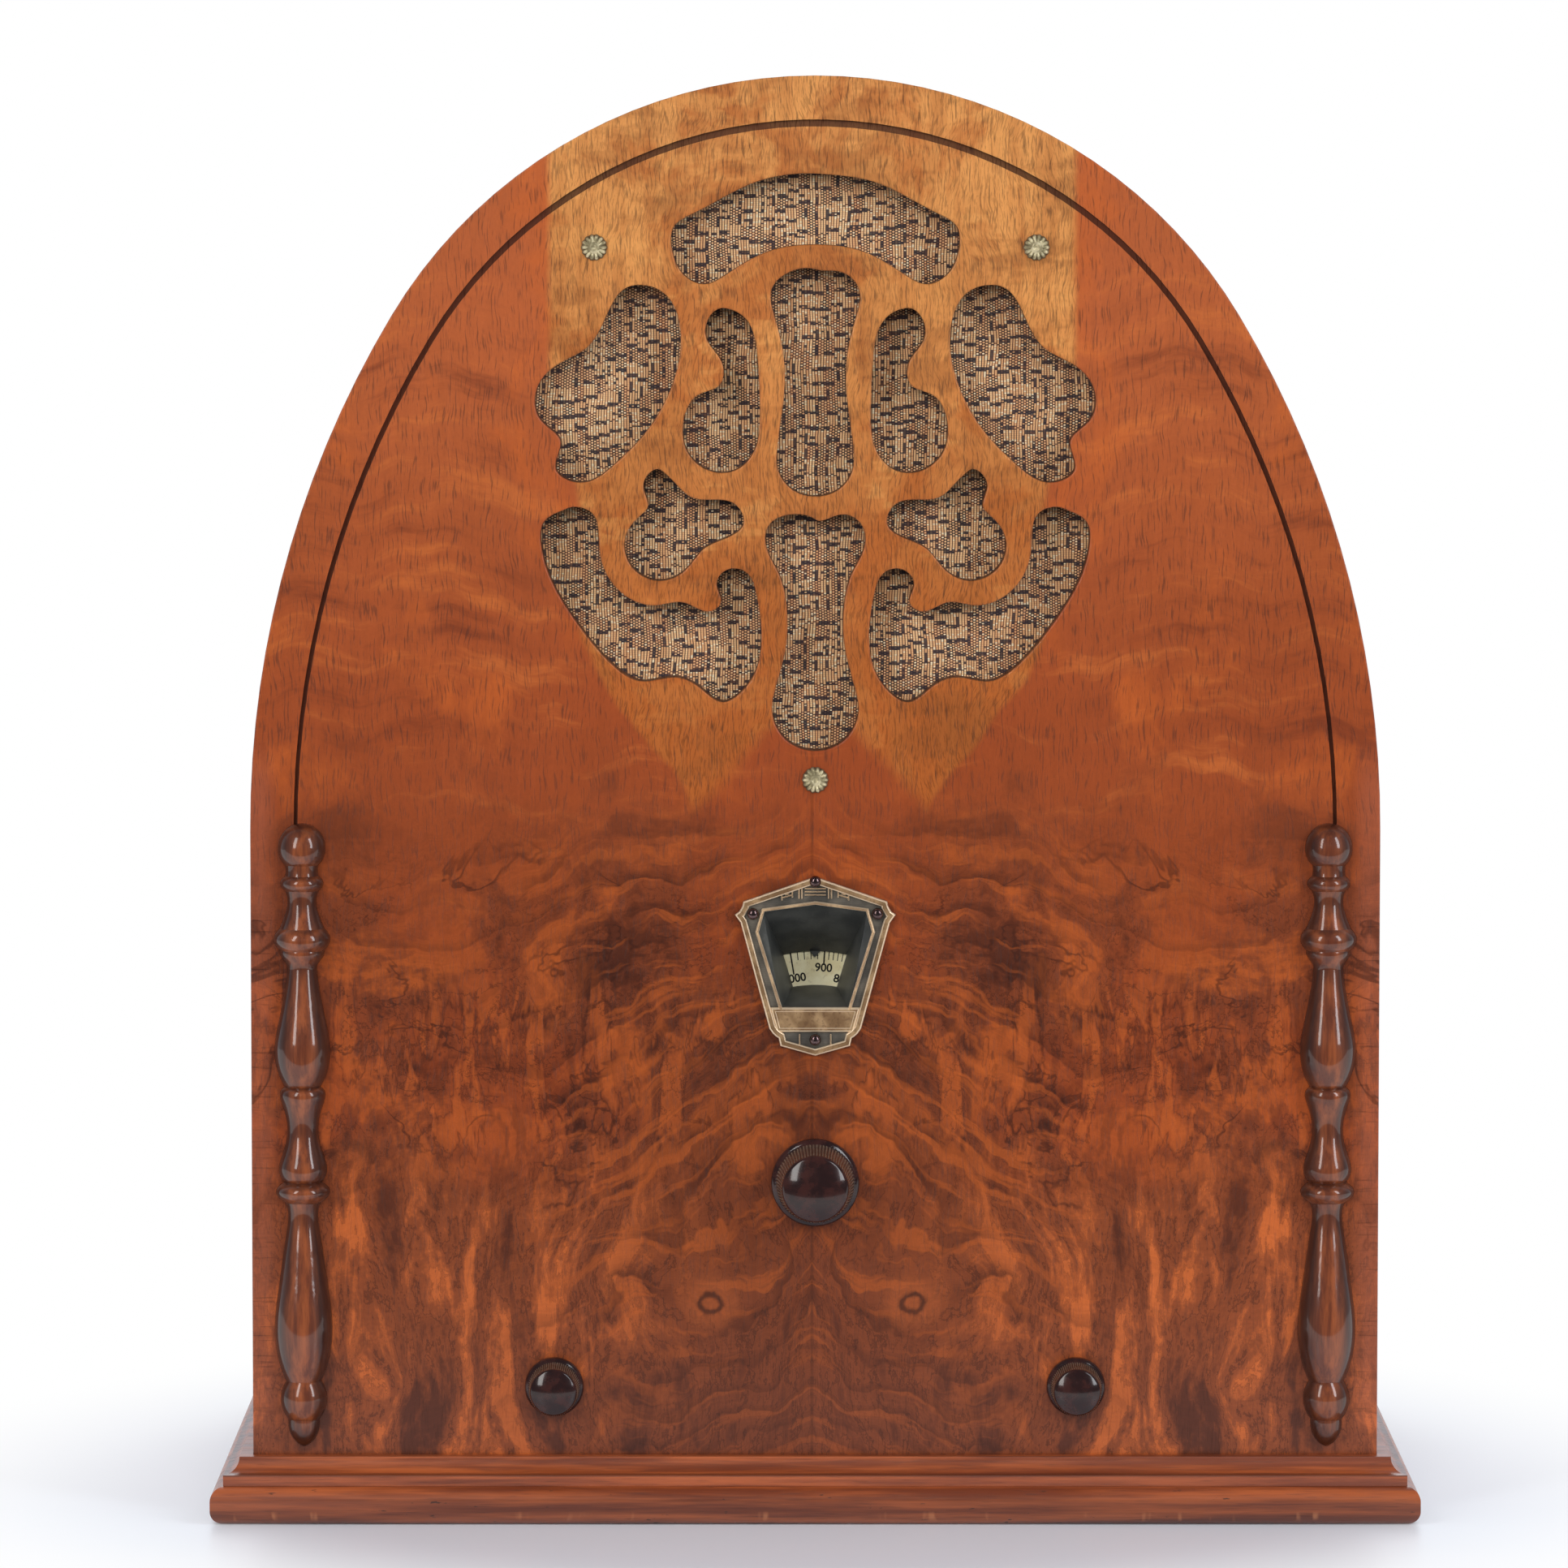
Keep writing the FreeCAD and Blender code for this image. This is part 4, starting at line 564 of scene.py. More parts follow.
def metal(name, tone, stain, rough, stain_scale=0.05, stain_amount=0.6, brushed=None, metallic=1.0):
    """Aged metal: a main tone, cloudy stain, fine scratches along one axis if brushed."""
    net = Net(name, rough=rough, metal=metallic)
    cloud = net.speckle(stain_scale, 4, 0.62)
    spots = net.speckle(stain_scale * 9, 3, 0.6).step(0.6, 0.72)
    colour = net.mix(cloud.step(0.42, 0.7) * stain_amount, tone, stain)
    colour = net.mix(spots * stain_amount * 0.6, colour, stain)
    height = net.speckle(1.3, 2) * 0.4
    if brushed:
        scale = {"x": (0.05, 3.0, 3.0), "y": (3.0, 0.05, 3.0), "z": (3.0, 3.0, 0.05)}[brushed]
        lines = net.noise(net.x * scale[0], net.y * scale[1], net.z * scale[2], 2)
        colour = net.shade(colour, 0.88 + lines * 0.24)
        height = height + lines * 0.6
    net.colour(colour)
    net.rough(rough + (cloud - 0.5) * 0.3 + spots * 0.15)
    net.bump(height, 0.04, 0.5)
    return net.mat


def antique_brass():
    """Brown-gold plate, bright on worn rims, with a painted highlight on its sloping faces, and grey in
    the sunk channels.
    """
    net = Net("antique_brass", rough=0.4, metal=0.6)
    z = net.z
    height = FRONT_Y - net.y
    rim = height.step(1.4, 1.6)
    cloud = net.speckle(0.14, 3)
    gold = net.mix(cloud.step(0.4, 0.65), srgb(152, 118, 84), srgb(200, 164, 122))
    gold = net.mix(net.speckle(0.9, 2).step(0.5, 0.7) * 0.5, gold, srgb(118, 84, 62))
    # Painted highlight: faces that slope away from the front are made pale cream.
    gold = net.mix(net.normal()[1].step(-0.98, -0.8) * 0.75, gold, srgb(255, 232, 200))
    hatch = (z * 1.7).fract().step(0.35, 0.5) * 0.35
    sunk = net.mix(cloud.step(0.35, 0.7), srgb(92, 88, 82), srgb(132, 124, 112))
    sunk = net.shade(sunk, 1 - hatch * 0.4)
    net.colour(net.mix(rim, sunk, gold))
    net.rough(0.5 - rim * 0.14 + (cloud - 0.5) * 0.2)
    net.bump(net.speckle(1.6, 2) * 0.6 - hatch * (1 - rim), 0.05, 0.6)
    return net.mat


def rosette_metal():
    """Silvery brass of the cast bolt heads, dark in the hollows."""
    net = Net("rosette_metal", rough=0.3, metal=0.45)
    height = FRONT_Y - net.y
    tone = net.mix(net.speckle(0.5, 2).step(0.4, 0.65), srgb(150, 140, 108), srgb(222, 210, 172))
    net.colour(net.mix(height.step(1.3, 0.7) * 0.8, tone, srgb(62, 52, 40)))
    net.bump(net.speckle(1.5, 2), 0.03, 0.4)
    return net.mat


def moulded(name, tone, lighter, rough, coat=0.4, mottle=0.05):
    """Moulded plastic or rubber with a faint mottle, dust and fine scratches."""
    net = Net(name, rough=rough, coat=coat, coat_rough=0.12)
    cloud = net.speckle(mottle, 4, 0.6)
    dust = net.speckle(1.1, 3, 0.7).step(0.62, 0.74)
    colour = net.mix(cloud.step(0.4, 0.68), tone, lighter)
    net.colour(net.mix(dust * 0.18, colour, srgb(120, 104, 92)))
    net.rough(rough + (cloud - 0.5) * 0.14 + dust * 0.2)
    net.bump(net.speckle(0.7, 3), 0.03, 0.4)
    return net.mat


def knob_bakelite():
    """Dark red-brown knobs: glossy caps, flutes with dust and a painted highlight on their ridges."""
    net = Net("knob_bakelite", rough=0.2, coat=0.55, coat_rough=0.07, specular=0.25)
    cloud = net.speckle(0.22, 4, 0.6)
    tone = net.mix(cloud.step(0.4, 0.66), srgb(34, 19, 19), srgb(54, 28, 25))
    low = net.tree.nodes.new("ShaderNodeAttribute")
    low.attribute_name = "fluted"
    low = Sig(net, low.outputs["Fac"])
    # Dust and painted highlight: the flute ridges are made pale grey-brown.
    ridge_dust_and_highlight = net.speckle(2.2, 3, 0.7).step(0.3, 0.6) * low
    net.colour(net.mix(ridge_dust_and_highlight * 0.6, tone, srgb(150, 136, 116)))
    net.rough(0.15 + cloud * 0.08 + low * 0.3)
    net.bump(net.speckle(0.5, 3) + net.noise(net.x * 0.4, net.y * 4, net.z * 3, 2) * 0.3, 0.02, 0.3)
    return net.mat


def funnel_card():
    """Dark grey-black dial mask, smooth with a little dust."""
    net = Net("funnel_card", rough=0.5, coat=0.15, coat_rough=0.3)
    cloud = net.speckle(0.09, 3)
    tone = net.mix(cloud.step(0.35, 0.7), srgb(50, 52, 52), srgb(78, 79, 76))
    dust = net.speckle(1.4, 2).step(0.6, 0.72)
    net.colour(net.mix(dust * 0.25, tone, srgb(104, 100, 94)))
    net.rough(0.42 + cloud * 0.2)
    net.bump(net.speckle(0.8, 2), 0.03, 0.4)
    return net.mat


def dial_celluloid():
    """Cream celluloid, yellower and browner in patches."""
    net = Net("dial_celluloid", rough=0.4, coat=0.3, coat_rough=0.15)
    age = net.speckle(0.09, 4, 0.6)
    tone = net.mix(age.step(0.4, 0.7), srgb(246, 240, 204), srgb(228, 216, 170))
    net.colour(net.mix(net.speckle(0.9, 3).step(0.6, 0.72) * 0.3, tone, srgb(150, 122, 80)))
    net.rough(0.36 + age * 0.14)
    net.bump(net.speckle(0.3, 3), 0.04, 0.4)
    return net.mat


def cone_paper():
    """Grey-brown pressed paper with faint rings round the cone's axis."""
    net = Net("cone_paper", rough=0.9)
    dz = net.z - SPEAKER_Z
    radius = net.math("SQRT", net.x * net.x + dz * dz)
    rings = abs((radius / 7).fract() - 0.5).step(0.2, 0.05)
    fibre = net.speckle(0.7, 4, 0.7)
    tone = net.mix(fibre.step(0.35, 0.65), srgb(62, 52, 44), srgb(92, 80, 68))
    net.colour(net.mix(net.speckle(0.03, 3).step(0.5, 0.7) * 0.4, tone, srgb(112, 92, 72)))
    net.bump(rings * 0.7 + fibre * 0.5, 0.35, 0.7)
    return net.mat


def fibrous(name, tone, second, scale=0.6, rough=0.85, depth=0.15):
    """Paper, leather, card or board with a fibrous mottle."""
    net = Net(name, rough=rough)
    fibre = net.speckle(scale, 4, 0.65)
    blot = net.speckle(scale * 0.06, 3)
    colour = net.mix(fibre.step(0.35, 0.65), tone, second)
    net.colour(net.shade(colour, 0.8 + blot * 0.4))
    net.rough(rough - 0.1 + fibre * 0.16)
    net.bump(fibre, depth, 0.6)
    return net.mat


def copper_wire():
    """Close turns of enamelled copper wire, with painted shade in the gaps between them."""
    net = Net("copper_wire", rough=0.35, metal=0.8)
    turns = abs((net.y * 2.4).fract() - 0.5).step(0.5, 0.1)
    tone = net.mix(net.speckle(0.3, 3).step(0.4, 0.7), srgb(168, 88, 52), srgb(124, 58, 38))
    # Painted shade: darker where neighbouring turns meet.
    net.colour(net.shade(tone, 0.6 + turns * 0.4))
    net.bump(turns, 0.2, 0.8)
    return net.mat


def core_steel():
    """Stacked laminations with a rusty bloom."""
    net = Net("core_steel", rough=0.55, metal=0.7)
    sheets = net.noise(net.x * 0.03, net.y * 0.05, net.z * 2.2, 1)
    tone = net.mix(sheets.step(0.4, 0.6), srgb(72, 66, 62), srgb(110, 100, 92))
    net.colour(net.mix(net.speckle(0.08, 4, 0.7).step(0.5, 0.7) * 0.7, tone, srgb(110, 66, 42)))
    net.rough(0.5 + sheets * 0.2)
    net.bump(sheets, 0.25, 0.8)
    return net.mat


def cloth_lead():
    """Braided cotton sleeving with a dark tracer."""
    net = Net("cloth_lead", rough=0.88, sheen=0.2)
    braid = ((net.x + net.y + net.z) * 0.9).fract()
    cross = ((net.x - net.y - net.z) * 0.9).fract()
    weave = abs(braid - 0.5) + abs(cross - 0.5)
    tone = net.mix(weave.step(0.3, 0.7), srgb(92, 70, 46), srgb(146, 118, 80))
    net.colour(net.mix(braid.more(0.82) * 0.8, tone, srgb(62, 26, 22)))
    net.bump(weave, 0.25, 0.8)
    return net.mat


def glass(name, smoke):
    """Old valve glass: thin, slightly smoky, with a faint film of dust."""
    net = Net(name, rough=0.05, coat=0.3, coat_rough=0.03)
    film = net.speckle(0.06, 4, 0.6)
    net.colour(net.mix(film.step(0.4, 0.7), smoke, srgb(190, 192, 188)))
    net.shader.inputs["Alpha"].default_value = 0.13
    net.rough(0.03 + film.step(0.5, 0.8) * 0.1)
    net.bump(net.speckle(0.12, 2), 0.05, 0.3)
    return net.mat


def make_materials():
    """One material for each of the record's slots, and those of the finer pieces."""
    own = (front_veneer, side_veneer, base_wood, turned_wood, plain_wood, grille_fabric, antique_brass,
           core_steel, cone_paper, copper_wire, dial_celluloid, cloth_lead)
    materials = {make.__name__: make() for make in own}
    metals = {
        "plain_brass": (srgb(176, 138, 78), srgb(96, 72, 46), 0.34),
        "dark_steel": (srgb(58, 54, 56), srgb(38, 34, 34), 0.34, 0.06),
        "pin_steel": (srgb(112, 92, 92), srgb(62, 50, 50), 0.24, 0.3),
        "plated_steel": (srgb(150, 146, 138), srgb(98, 82, 66), 0.4, 0.08),
        "chassis_steel": (srgb(126, 124, 118), srgb(92, 74, 58), 0.46, 0.03, 0.75),
        "plate_aluminium": (srgb(176, 178, 180), srgb(132, 130, 126), 0.3, 0.1, 0.4, "z"),
        "shield_metal": (srgb(158, 158, 156), srgb(112, 106, 98), 0.4, 0.05, 0.6, "z"),
        "valve_plate": (srgb(96, 94, 92), srgb(52, 50, 50), 0.5, 0.1)}
    mouldings = {
        "black_paint": (srgb(22, 22, 23), srgb(34, 33, 33), 0.46, 0.2),
        "dark_bakelite": (srgb(38, 24, 21), srgb(58, 36, 30), 0.3, 0.4),
        "drive_rubber": (srgb(36, 34, 33), srgb(54, 50, 47), 0.8, 0.0),
        "soft_rubber": (srgb(48, 44, 42), srgb(70, 62, 56), 0.85, 0.0)}
    fibres = {
        "winding_paper": (srgb(158, 122, 78), srgb(190, 154, 104), 0.3),
        "soft_leather": (srgb(128, 96, 66), srgb(158, 126, 90), 0.5),
        "phenolic_board": (srgb(96, 58, 34), srgb(124, 78, 46), 1.2, 0.5, 0.04),
        "valve_mica": (srgb(196, 190, 176), srgb(220, 214, 200), 0.6, 0.4, 0.05)}
    glasses = {"lamp_glass": (srgb(236, 230, 210),), "tube_glass": (srgb(186, 188, 184),)}
    for make, table in ((metal, metals), (moulded, mouldings), (fibrous, fibres), (glass, glasses)):
        for name, values in table.items():
            materials[name] = make(name, *values)
    materials["funnel"] = funnel_card()
    materials["knob"] = knob_bakelite()
    materials["rosette"] = rosette_metal()
    materials["ink"] = ink()
    return materials


# --- Mesh helpers ---


def add_piece(name, verts, faces, material, body="cabinet", slot=None, smooth=True):
    """A mesh piece from points in millimetres, riding on a CAD body."""
    mesh = bpy.data.meshes.new(name)
    mesh.from_pydata([Vector(v) * MM for v in verts], [], faces)
    mesh.validate()
    for polygon in mesh.polygons:
        polygon.use_smooth = smooth
    piece = bpy.data.objects.new(name, mesh)
    bpy.context.collection.objects.link(piece)
    piece.data.materials.append(material)
    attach(piece, body)
    return piece


def add_part(parts, verts, faces):
    """Adds points and faces to a growing pair of lists."""
    start = len(parts[0])
    parts[0].extend(verts)
    parts[1].extend([tuple(start + i for i in face) for face in faces])


def lathe(profile, x, z, segments, swell=None):
    """Points and faces of a turning about an axis along Y. profile is (radius, y) from back to front."""
    verts = []
    faces = []
    for level, (radius, y) in enumerate(profile):
        for k in range(segments):
            angle = 2 * math.pi * k / segments
            r, dy = swell(level, radius, angle) if swell else (radius, 0.0)
            verts.append((x + r * math.sin(angle), y + dy, z + r * math.cos(angle)))
    for level in range(len(profile) - 1):
        low = level * segments
        for k in range(segments):
            j = (k + 1) % segments
            faces.append((low + k, low + j, low + segments + j, low + segments + k))
    faces.append(tuple(range(len(profile) * segments - segments, len(profile) * segments)))
    faces.append(tuple(range(segments - 1, -1, -1)))
    return verts, faces


def turned_up(profile, x, y, segments=32):
    """Points and faces of a turning about an upright axis. profile is (radius, z) from the bottom up."""
    verts, faces = lathe(profile, 0, 0, segments)
    return [(x + v[0], y - v[2], v[1]) for v in verts], faces


def block(x0, x1, y0, y1, z0, z1, bevel=0.0):
    """Points and faces of a box with its front edges cut back by bevel."""
    b = bevel
    back = [(x0, y1, z0), (x1, y1, z0), (x1, y1, z1), (x0, y1, z1)]
    waist = [(x0, y0 + b, z0), (x1, y0 + b, z0), (x1, y0 + b, z1), (x0, y0 + b, z1)]
    front = [(x0 + b, y0, z0 + b), (x1 - b, y0, z0 + b), (x1 - b, y0, z1 - b), (x0 + b, y0, z1 - b)]
    faces = [(3, 2, 1, 0), (8, 9, 10, 11)]
    for k in range(4):
        j = (k + 1) % 4
        faces.append((k, j, 4 + j, 4 + k))
        faces.append((4 + k, 4 + j, 8 + j, 8 + k))
    return back + waist + front, faces


def inset_outline(outline, distance):
    """A closed outline of (x, z) points moved inwards by distance, with mitred corners."""
    moved = []
    count = len(outline)
    for k in range(count):
        before = Vector(outline[k]) - Vector(outline[k - 1])
        after = Vector(outline[(k + 1) % count]) - Vector(outline[k])
        n0 = Vector((before.y, -before.x)).normalized()
        n1 = Vector((after.y, -after.x)).normalized()
        mitre = (n0 + n1) / max(0.35, 1 + n0.dot(n1))
        moved.append(tuple(Vector(outline[k]) + mitre * distance))
    return moved


def strip_along(outline, section):
    """Points and faces of a section swept round a closed outline. section is (inset, y)."""
    verts = []
    faces = []
    count = len(outline)
    for inset, y in section:
        verts += [(p[0], y, p[1]) for p in inset_outline(outline, inset)]
    for level in range(len(section) - 1):
        low = level * count
        for k in range(count):
            j = (k + 1) % count
            faces.append((low + k, low + j, low + count + j, low + count + k))
    return verts, faces


# --- Escutcheon ---

PLATE_HALF = ((22.7, 196.7), (23.0, 195.2), (23.9, 193.6), (25.4, 192.5), (23.6, 190.0), (18.2, 170.0),
              (14.5, 156.4), (13.4, 154.8), (12.4, 153.9), (11.6, 153.4), (11.0, 150.9))
PLATE_TOP = (0.0, 204.5)
PLATE_TIP = (0.0, 147.8)
WINDOW_HALF = ((16.0, 193.5), (17.8, 187.0), (10.3, 162.7))
WINDOW_TOP = (0.0, 195.7)
PLATE_Y = FRONT_Y - 1.0
RIM_Y = FRONT_Y - 2.2
RELIEF_Y = PLATE_Y - 0.75


def mirrored_outline(top, half, tip=None):
    """Closed outline, clockwise from the top as seen from the front."""
    left = [(-x, z) for x, z in reversed(half)]
    return [top, *half, *([tip] if tip else []), *left]


def escutcheon(materials):
    """Stamped dial plate: rounded outer rim, sunk channel, window rim and small relief."""
    plate = mirrored_outline(PLATE_TOP, PLATE_HALF, PLATE_TIP)
    window = mirrored_outline(WINDOW_TOP, WINDOW_HALF)
    parts = ([], [])
    rim = [(0.0, FRONT_Y), (0.0, RIM_Y + 0.8), (0.2, RIM_Y + 0.25), (0.55, RIM_Y), (1.75, RIM_Y - 0.02),
           (2.0, RIM_Y + 0.15), (2.15, RIM_Y + 0.55), (2.2, PLATE_Y)]
    add_part(parts, *strip_along(plate, rim))
    lip = [(0.0, FRONT_Y), (0.0, RIM_Y + 0.4), (-0.2, RIM_Y + 0.05), (-0.5, RIM_Y - 0.05),
           (-0.85, RIM_Y + 0.1), (-1.05, RIM_Y + 0.5), (-1.1, PLATE_Y)]
    add_part(parts, *strip_along(window, lip))
    add_part(parts, *channel_floor(plate, window))
    for side in (-1, 1):
        for x0, x1 in ((4.0, 4.4), (4.9, 5.3)):
            low, high = sorted((side * x0, side * x1))
            add_part(parts, *block(low, high, RELIEF_Y, PLATE_Y + 0.2, 197.6, 201.6, 0.12))
        add_part(parts, *eared_box(side))
        low, high = sorted((side * 4.7, side * 5.1))
        add_part(parts, *block(low, high, RELIEF_Y, PLATE_Y + 0.2, 151.3, 154.7, 0.12))
    for z in (198.6, 199.6, 200.6):
        add_part(parts, *block(-3.3, 3.3, RELIEF_Y, PLATE_Y + 0.2, z, z + 0.35, 0.08))
    add_part(parts, *name_panel())
    brass = materials["antique_brass"]
    piece = add_piece("escutcheon_plate", *parts, brass, slot="antique_brass", smooth=False)
    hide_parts("escutcheon")


def channel_floor(plate, window):
    """Flat floor between the two rims, joined radially from outline to outline."""
    outer = inset_outline(plate, 1.9)
    inner = inset_outline(window, -0.9)
    verts = [(x, PLATE_Y, z) for x, z in outer + inner]
    count = len(outer)
    nearest = []
    for point in outer:
        gaps = [(Vector(point) - Vector(q)).length for q in inner]
        nearest.append(count + gaps.index(min(gaps)))
    faces = []
    for k in range(count):
        j = (k + 1) % count
        faces.append((k, j, nearest[j]) if nearest[j] == nearest[k] else (k, j, nearest[j], nearest[k]))
    return verts, [face for face in faces if len(set(face)) > 2]


def eared_box(side):
    """Small open rectangle with two ears, tilted with the plate's shoulder."""
    parts = ([], [])
    slope = -0.28
    for x0, x1, z0, z1 in ((6.6, 11.0, 198.9, 199.3), (7.2, 10.4, 197.5, 197.9), (7.0, 7.4, 196.9, 199.0),
                           (10.3, 10.7, 196.9, 199.0), (8.2, 9.5, 198.2, 198.5)):
        verts, faces = block(x0, x1, RELIEF_Y, PLATE_Y + 0.2, z0, z1, 0.1)
        tilted = [(side * x, y, z + slope * (x - 8.8) + 0.6) for x, y, z in verts]
        if side < 0:
            faces = [tuple(reversed(face)) for face in faces]
        add_part(parts, tilted, faces)
    return parts


def name_panel():
    """Raised plain panel under the window, level with the rims."""
    outline = [(-13.9, 162.9), (13.9, 162.9), (11.9, 155.6), (-11.9, 155.6)]
    section = [(-0.6, PLATE_Y), (0.0, RIM_Y + 0.25), (0.35, RIM_Y), (0.9, RIM_Y - 0.02),
               (1.1, RIM_Y + 0.12), (1.35, RIM_Y + 0.14)]
    verts, faces = strip_along(outline, section)
    faces.append(tuple(range(len(verts) - len(outline), len(verts))))
    return verts, faces


def escutcheon_pins(materials):
    """Round-headed pins that hold the plate."""
    parts = ([], [])
    profile = [(1.85, PLATE_Y), (1.85, RIM_Y + 0.2), (1.7, RIM_Y - 0.45), (1.3, RIM_Y - 0.95),
               (0.75, RIM_Y - 1.25), (0.25, RIM_Y - 1.35)]
    for x, z in ((0, 203.0), (-19.6, 192.8), (19.6, 192.8), (0, 152.9)):
        add_part(parts, *lathe(profile, x, z, 24))
    piece = add_piece("escutcheon_pin_heads", *parts, materials["pin_steel"], slot="dark_steel")
    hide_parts("escutcheon_pins")


def funnel_collar(materials):
    """Dark flange that closes the corners between the plate's window and the mask's mouth."""
    outer = inset_outline(mirrored_outline(WINDOW_TOP, WINDOW_HALF), -1.2)
    inner = [(0.0, 195.3), (16.5, 193.7), (10.7, 162.1), (-10.7, 162.1), (-16.5, 193.7)]
    order = [0, 1, 1, 2, 3, 4, 4]
    y = FRONT_Y - 0.2
    verts = [(x, y, z) for x, z in outer + inner]
    count = len(outer)
    faces = []
    for k in range(count):
        j = (k + 1) % count
        face = (k, j, count + order[j], count + order[k])
        faces.append(face if order[j] != order[k] else face[:3])
    add_piece("funnel_collar", verts, faces, materials["funnel"], smooth=False)


# --- Knobs and rosettes ---


def dome_profile(radius, front, edge_angle, rings=14):
    """(radius, y) from the crisp edge of a knob's rounded cap to its middle."""
    sphere = radius / math.sin(edge_angle)
    points = []
    for k in range(rings):
        angle = edge_angle * (1 - k / rings)
        points.append((sphere * math.sin(angle), front + sphere * (1 - math.cos(angle))))
    return points


def knob(name, materials, body, x, z, size, length):
    """Moulded knob: skirt ring, finely fluted cone, glossy cap. size is the radius of each."""
    back = FRONT_Y - 0.8
    flutes = 72
    segments = flutes * 4
    skirt, cone, dome = size
    edge_angle = math.radians(28)
    rise = dome * math.tan(edge_angle / 2)
    front = back - length
    brow = front + rise
    middle = (back - 3.9 + brow) / 2
    profile = [(skirt - 0.5, back), (skirt, back - 0.5), (skirt, back - 2.4), (skirt - 0.35, back - 3.0),
               (cone + 0.5, back - 3.3), (cone + 0.1, back - 3.6), (cone, back - 3.9),
               (cone * 0.45 + dome * 0.55, middle), (dome + 0.5, brow + 0.7), (dome + 0.1, brow + 0.35)]
    fluted = (6, 7, 8)
    profile += dome_profile(dome, front, edge_angle)

    def swell(level, radius, angle):
        if level not in fluted:
            return radius, 0.0
        return radius - 0.5 * (1 - abs(math.sin(angle * flutes / 2))), 0.0

    turning = lathe(profile, x, z, segments, swell)
    piece = add_piece(name + "_moulded", *turning, materials["knob"], body, "dark_bakelite")
    # The fluted mask is 1 on the flute ridges, where the knob material paints dust and a highlight.
    mask = piece.data.attributes.new("fluted", "FLOAT", "POINT")
    for level in fluted:
        for k in range(segments):
            mask.data[level * segments + k].value = 1.0 if k % 4 == 2 else 0.2
    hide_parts(name)


def rosettes(materials):
    """Cast flower heads and shanks of the loudspeaker bolts, fourteen petals round a dimple."""
    petals = 14
    segments = petals * 8
    head = ((2.0, 0.4), (4.0, 0.02), (4.2, -0.3), (4.1, -0.8), (3.5, -1.4), (2.7, -1.6), (2.05, -1.25),
            (1.8, -1.3), (1.5, -1.75), (1.1, -1.88), (0.75, -1.6), (0.35, -1.1))
    profile = [(2.0, BOLT_SHANK_END_Y)] + [(radius, FRONT_Y + dy) for radius, dy in head]
    hollow = {4: 0.5, 5: 0.8, 6: 0.75, 7: 0.25}

    def swell(level, radius, angle):
        wave = 1 - abs(math.sin(angle * petals / 2))
        narrow = 0.4 * wave if level in (3, 4) else 0.0
        return radius - narrow, hollow.get(level, 0.0) * wave

    parts = ([], [])
    for degrees in (45, -45, 180):
        turn = math.radians(degrees)
        x = BOLT_CIRCLE_RADIUS * math.sin(turn)
        z = SPEAKER_Z + BOLT_CIRCLE_RADIUS * math.cos(turn)
        add_part(parts, *lathe(profile, x, z, segments, swell))
    piece = add_piece("bolt_rosettes", *parts, materials["rosette"], slot="plain_brass")
    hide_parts("speaker_bolts")


# --- Dial print ---

DIAL_PRINT_Y = -86.04
SCALE_RADIUS = 48.9
DIAL_ANGLES = {1500: -84.0, 1400: -71.5, 1300: -57.0, 1200: -41.5, 1100: -25.5, 1000: -9.4, 900: 3.7,
               800: 12.6, 700: 20.5, 600: 27.6}


def dial_angle(frequency):
    """Angle of a frequency on the dial, clockwise from the top at rest."""
    low = min(1400, max(600, int(frequency // 100) * 100))
    part = (frequency - low) / 100
    return DIAL_ANGLES[low] + (DIAL_ANGLES[low + 100] - DIAL_ANGLES[low]) * part


def dial_ticks():
    """Thin radial marks, one each 20 kilocycles and longer at each 100."""
    parts = ([], [])
    for frequency in range(600, 1501, 20):
        angle = math.radians(dial_angle(frequency))
        major = frequency % 100 == 0
        long_mark = frequency % 200 == 0
        length = (8.0 if long_mark else 5.4) if major else 3.6
        half = 0.24 if major else 0.14
        out = Vector((math.sin(angle), math.cos(angle)))
        side = Vector((out.y, -out.x)) * half
        corners = []
        for r in (SCALE_RADIUS, SCALE_RADIUS - length):
            for sign in (-1, 1) if r == SCALE_RADIUS else (1, -1):
                point = out * r + side * sign
                corners.append((point.x, DIAL_PRINT_Y, DIAL_Z + point.y))
        add_part(parts, corners, [(0, 1, 2, 3)])
    return parts


def dial_numbers(parts):
    """Frequency numbers in the plain built-in letter shapes, turned to face outwards."""
    for frequency, degrees in DIAL_ANGLES.items():
        curve = bpy.data.curves.new("dial_number", "FONT")
        curve.body = str(frequency)
        curve.size = 3.7
        curve.align_x = "CENTER"
        curve.align_y = "CENTER"
        curve.offset = 0.08
        text = bpy.data.objects.new("dial_number", curve)
        bpy.context.collection.objects.link(text)
        mesh = bpy.data.meshes.new_from_object(text)
        angle = math.radians(degrees)
        radius = 39.6 if frequency % 200 == 0 else 42.6
        verts = []
        for vertex in mesh.vertices:
            across = vertex.co.x
            up = vertex.co.y + radius
            verts.append((across * math.cos(angle) + up * math.sin(angle), DIAL_PRINT_Y - 0.01,
                          DIAL_Z - across * math.sin(angle) + up * math.cos(angle)))
        add_part(parts, verts, [tuple(p.vertices) for p in mesh.polygons])
        bpy.data.objects.remove(text)
        bpy.data.curves.remove(curve)
        bpy.data.meshes.remove(mesh)
    return parts


def dial_print(materials):
    """Scale marks and numbers in one piece that turns with the dial."""
    parts = dial_numbers(dial_ticks())
    add_piece("dial_print", *parts, materials["ink"], "dial", "dial_celluloid", smooth=False)


def ink():
    """Black printing ink, worn thin in places."""
    net = Net("dial_ink", rough=0.6)
    net.colour(net.mix(net.speckle(1.5, 3).step(0.55, 0.75) * 0.5, srgb(24, 22, 20), srgb(96, 84, 62)))
    net.bump(net.speckle(2.0, 2), 0.01, 0.3)
    return net.mat


# --- Valves ---

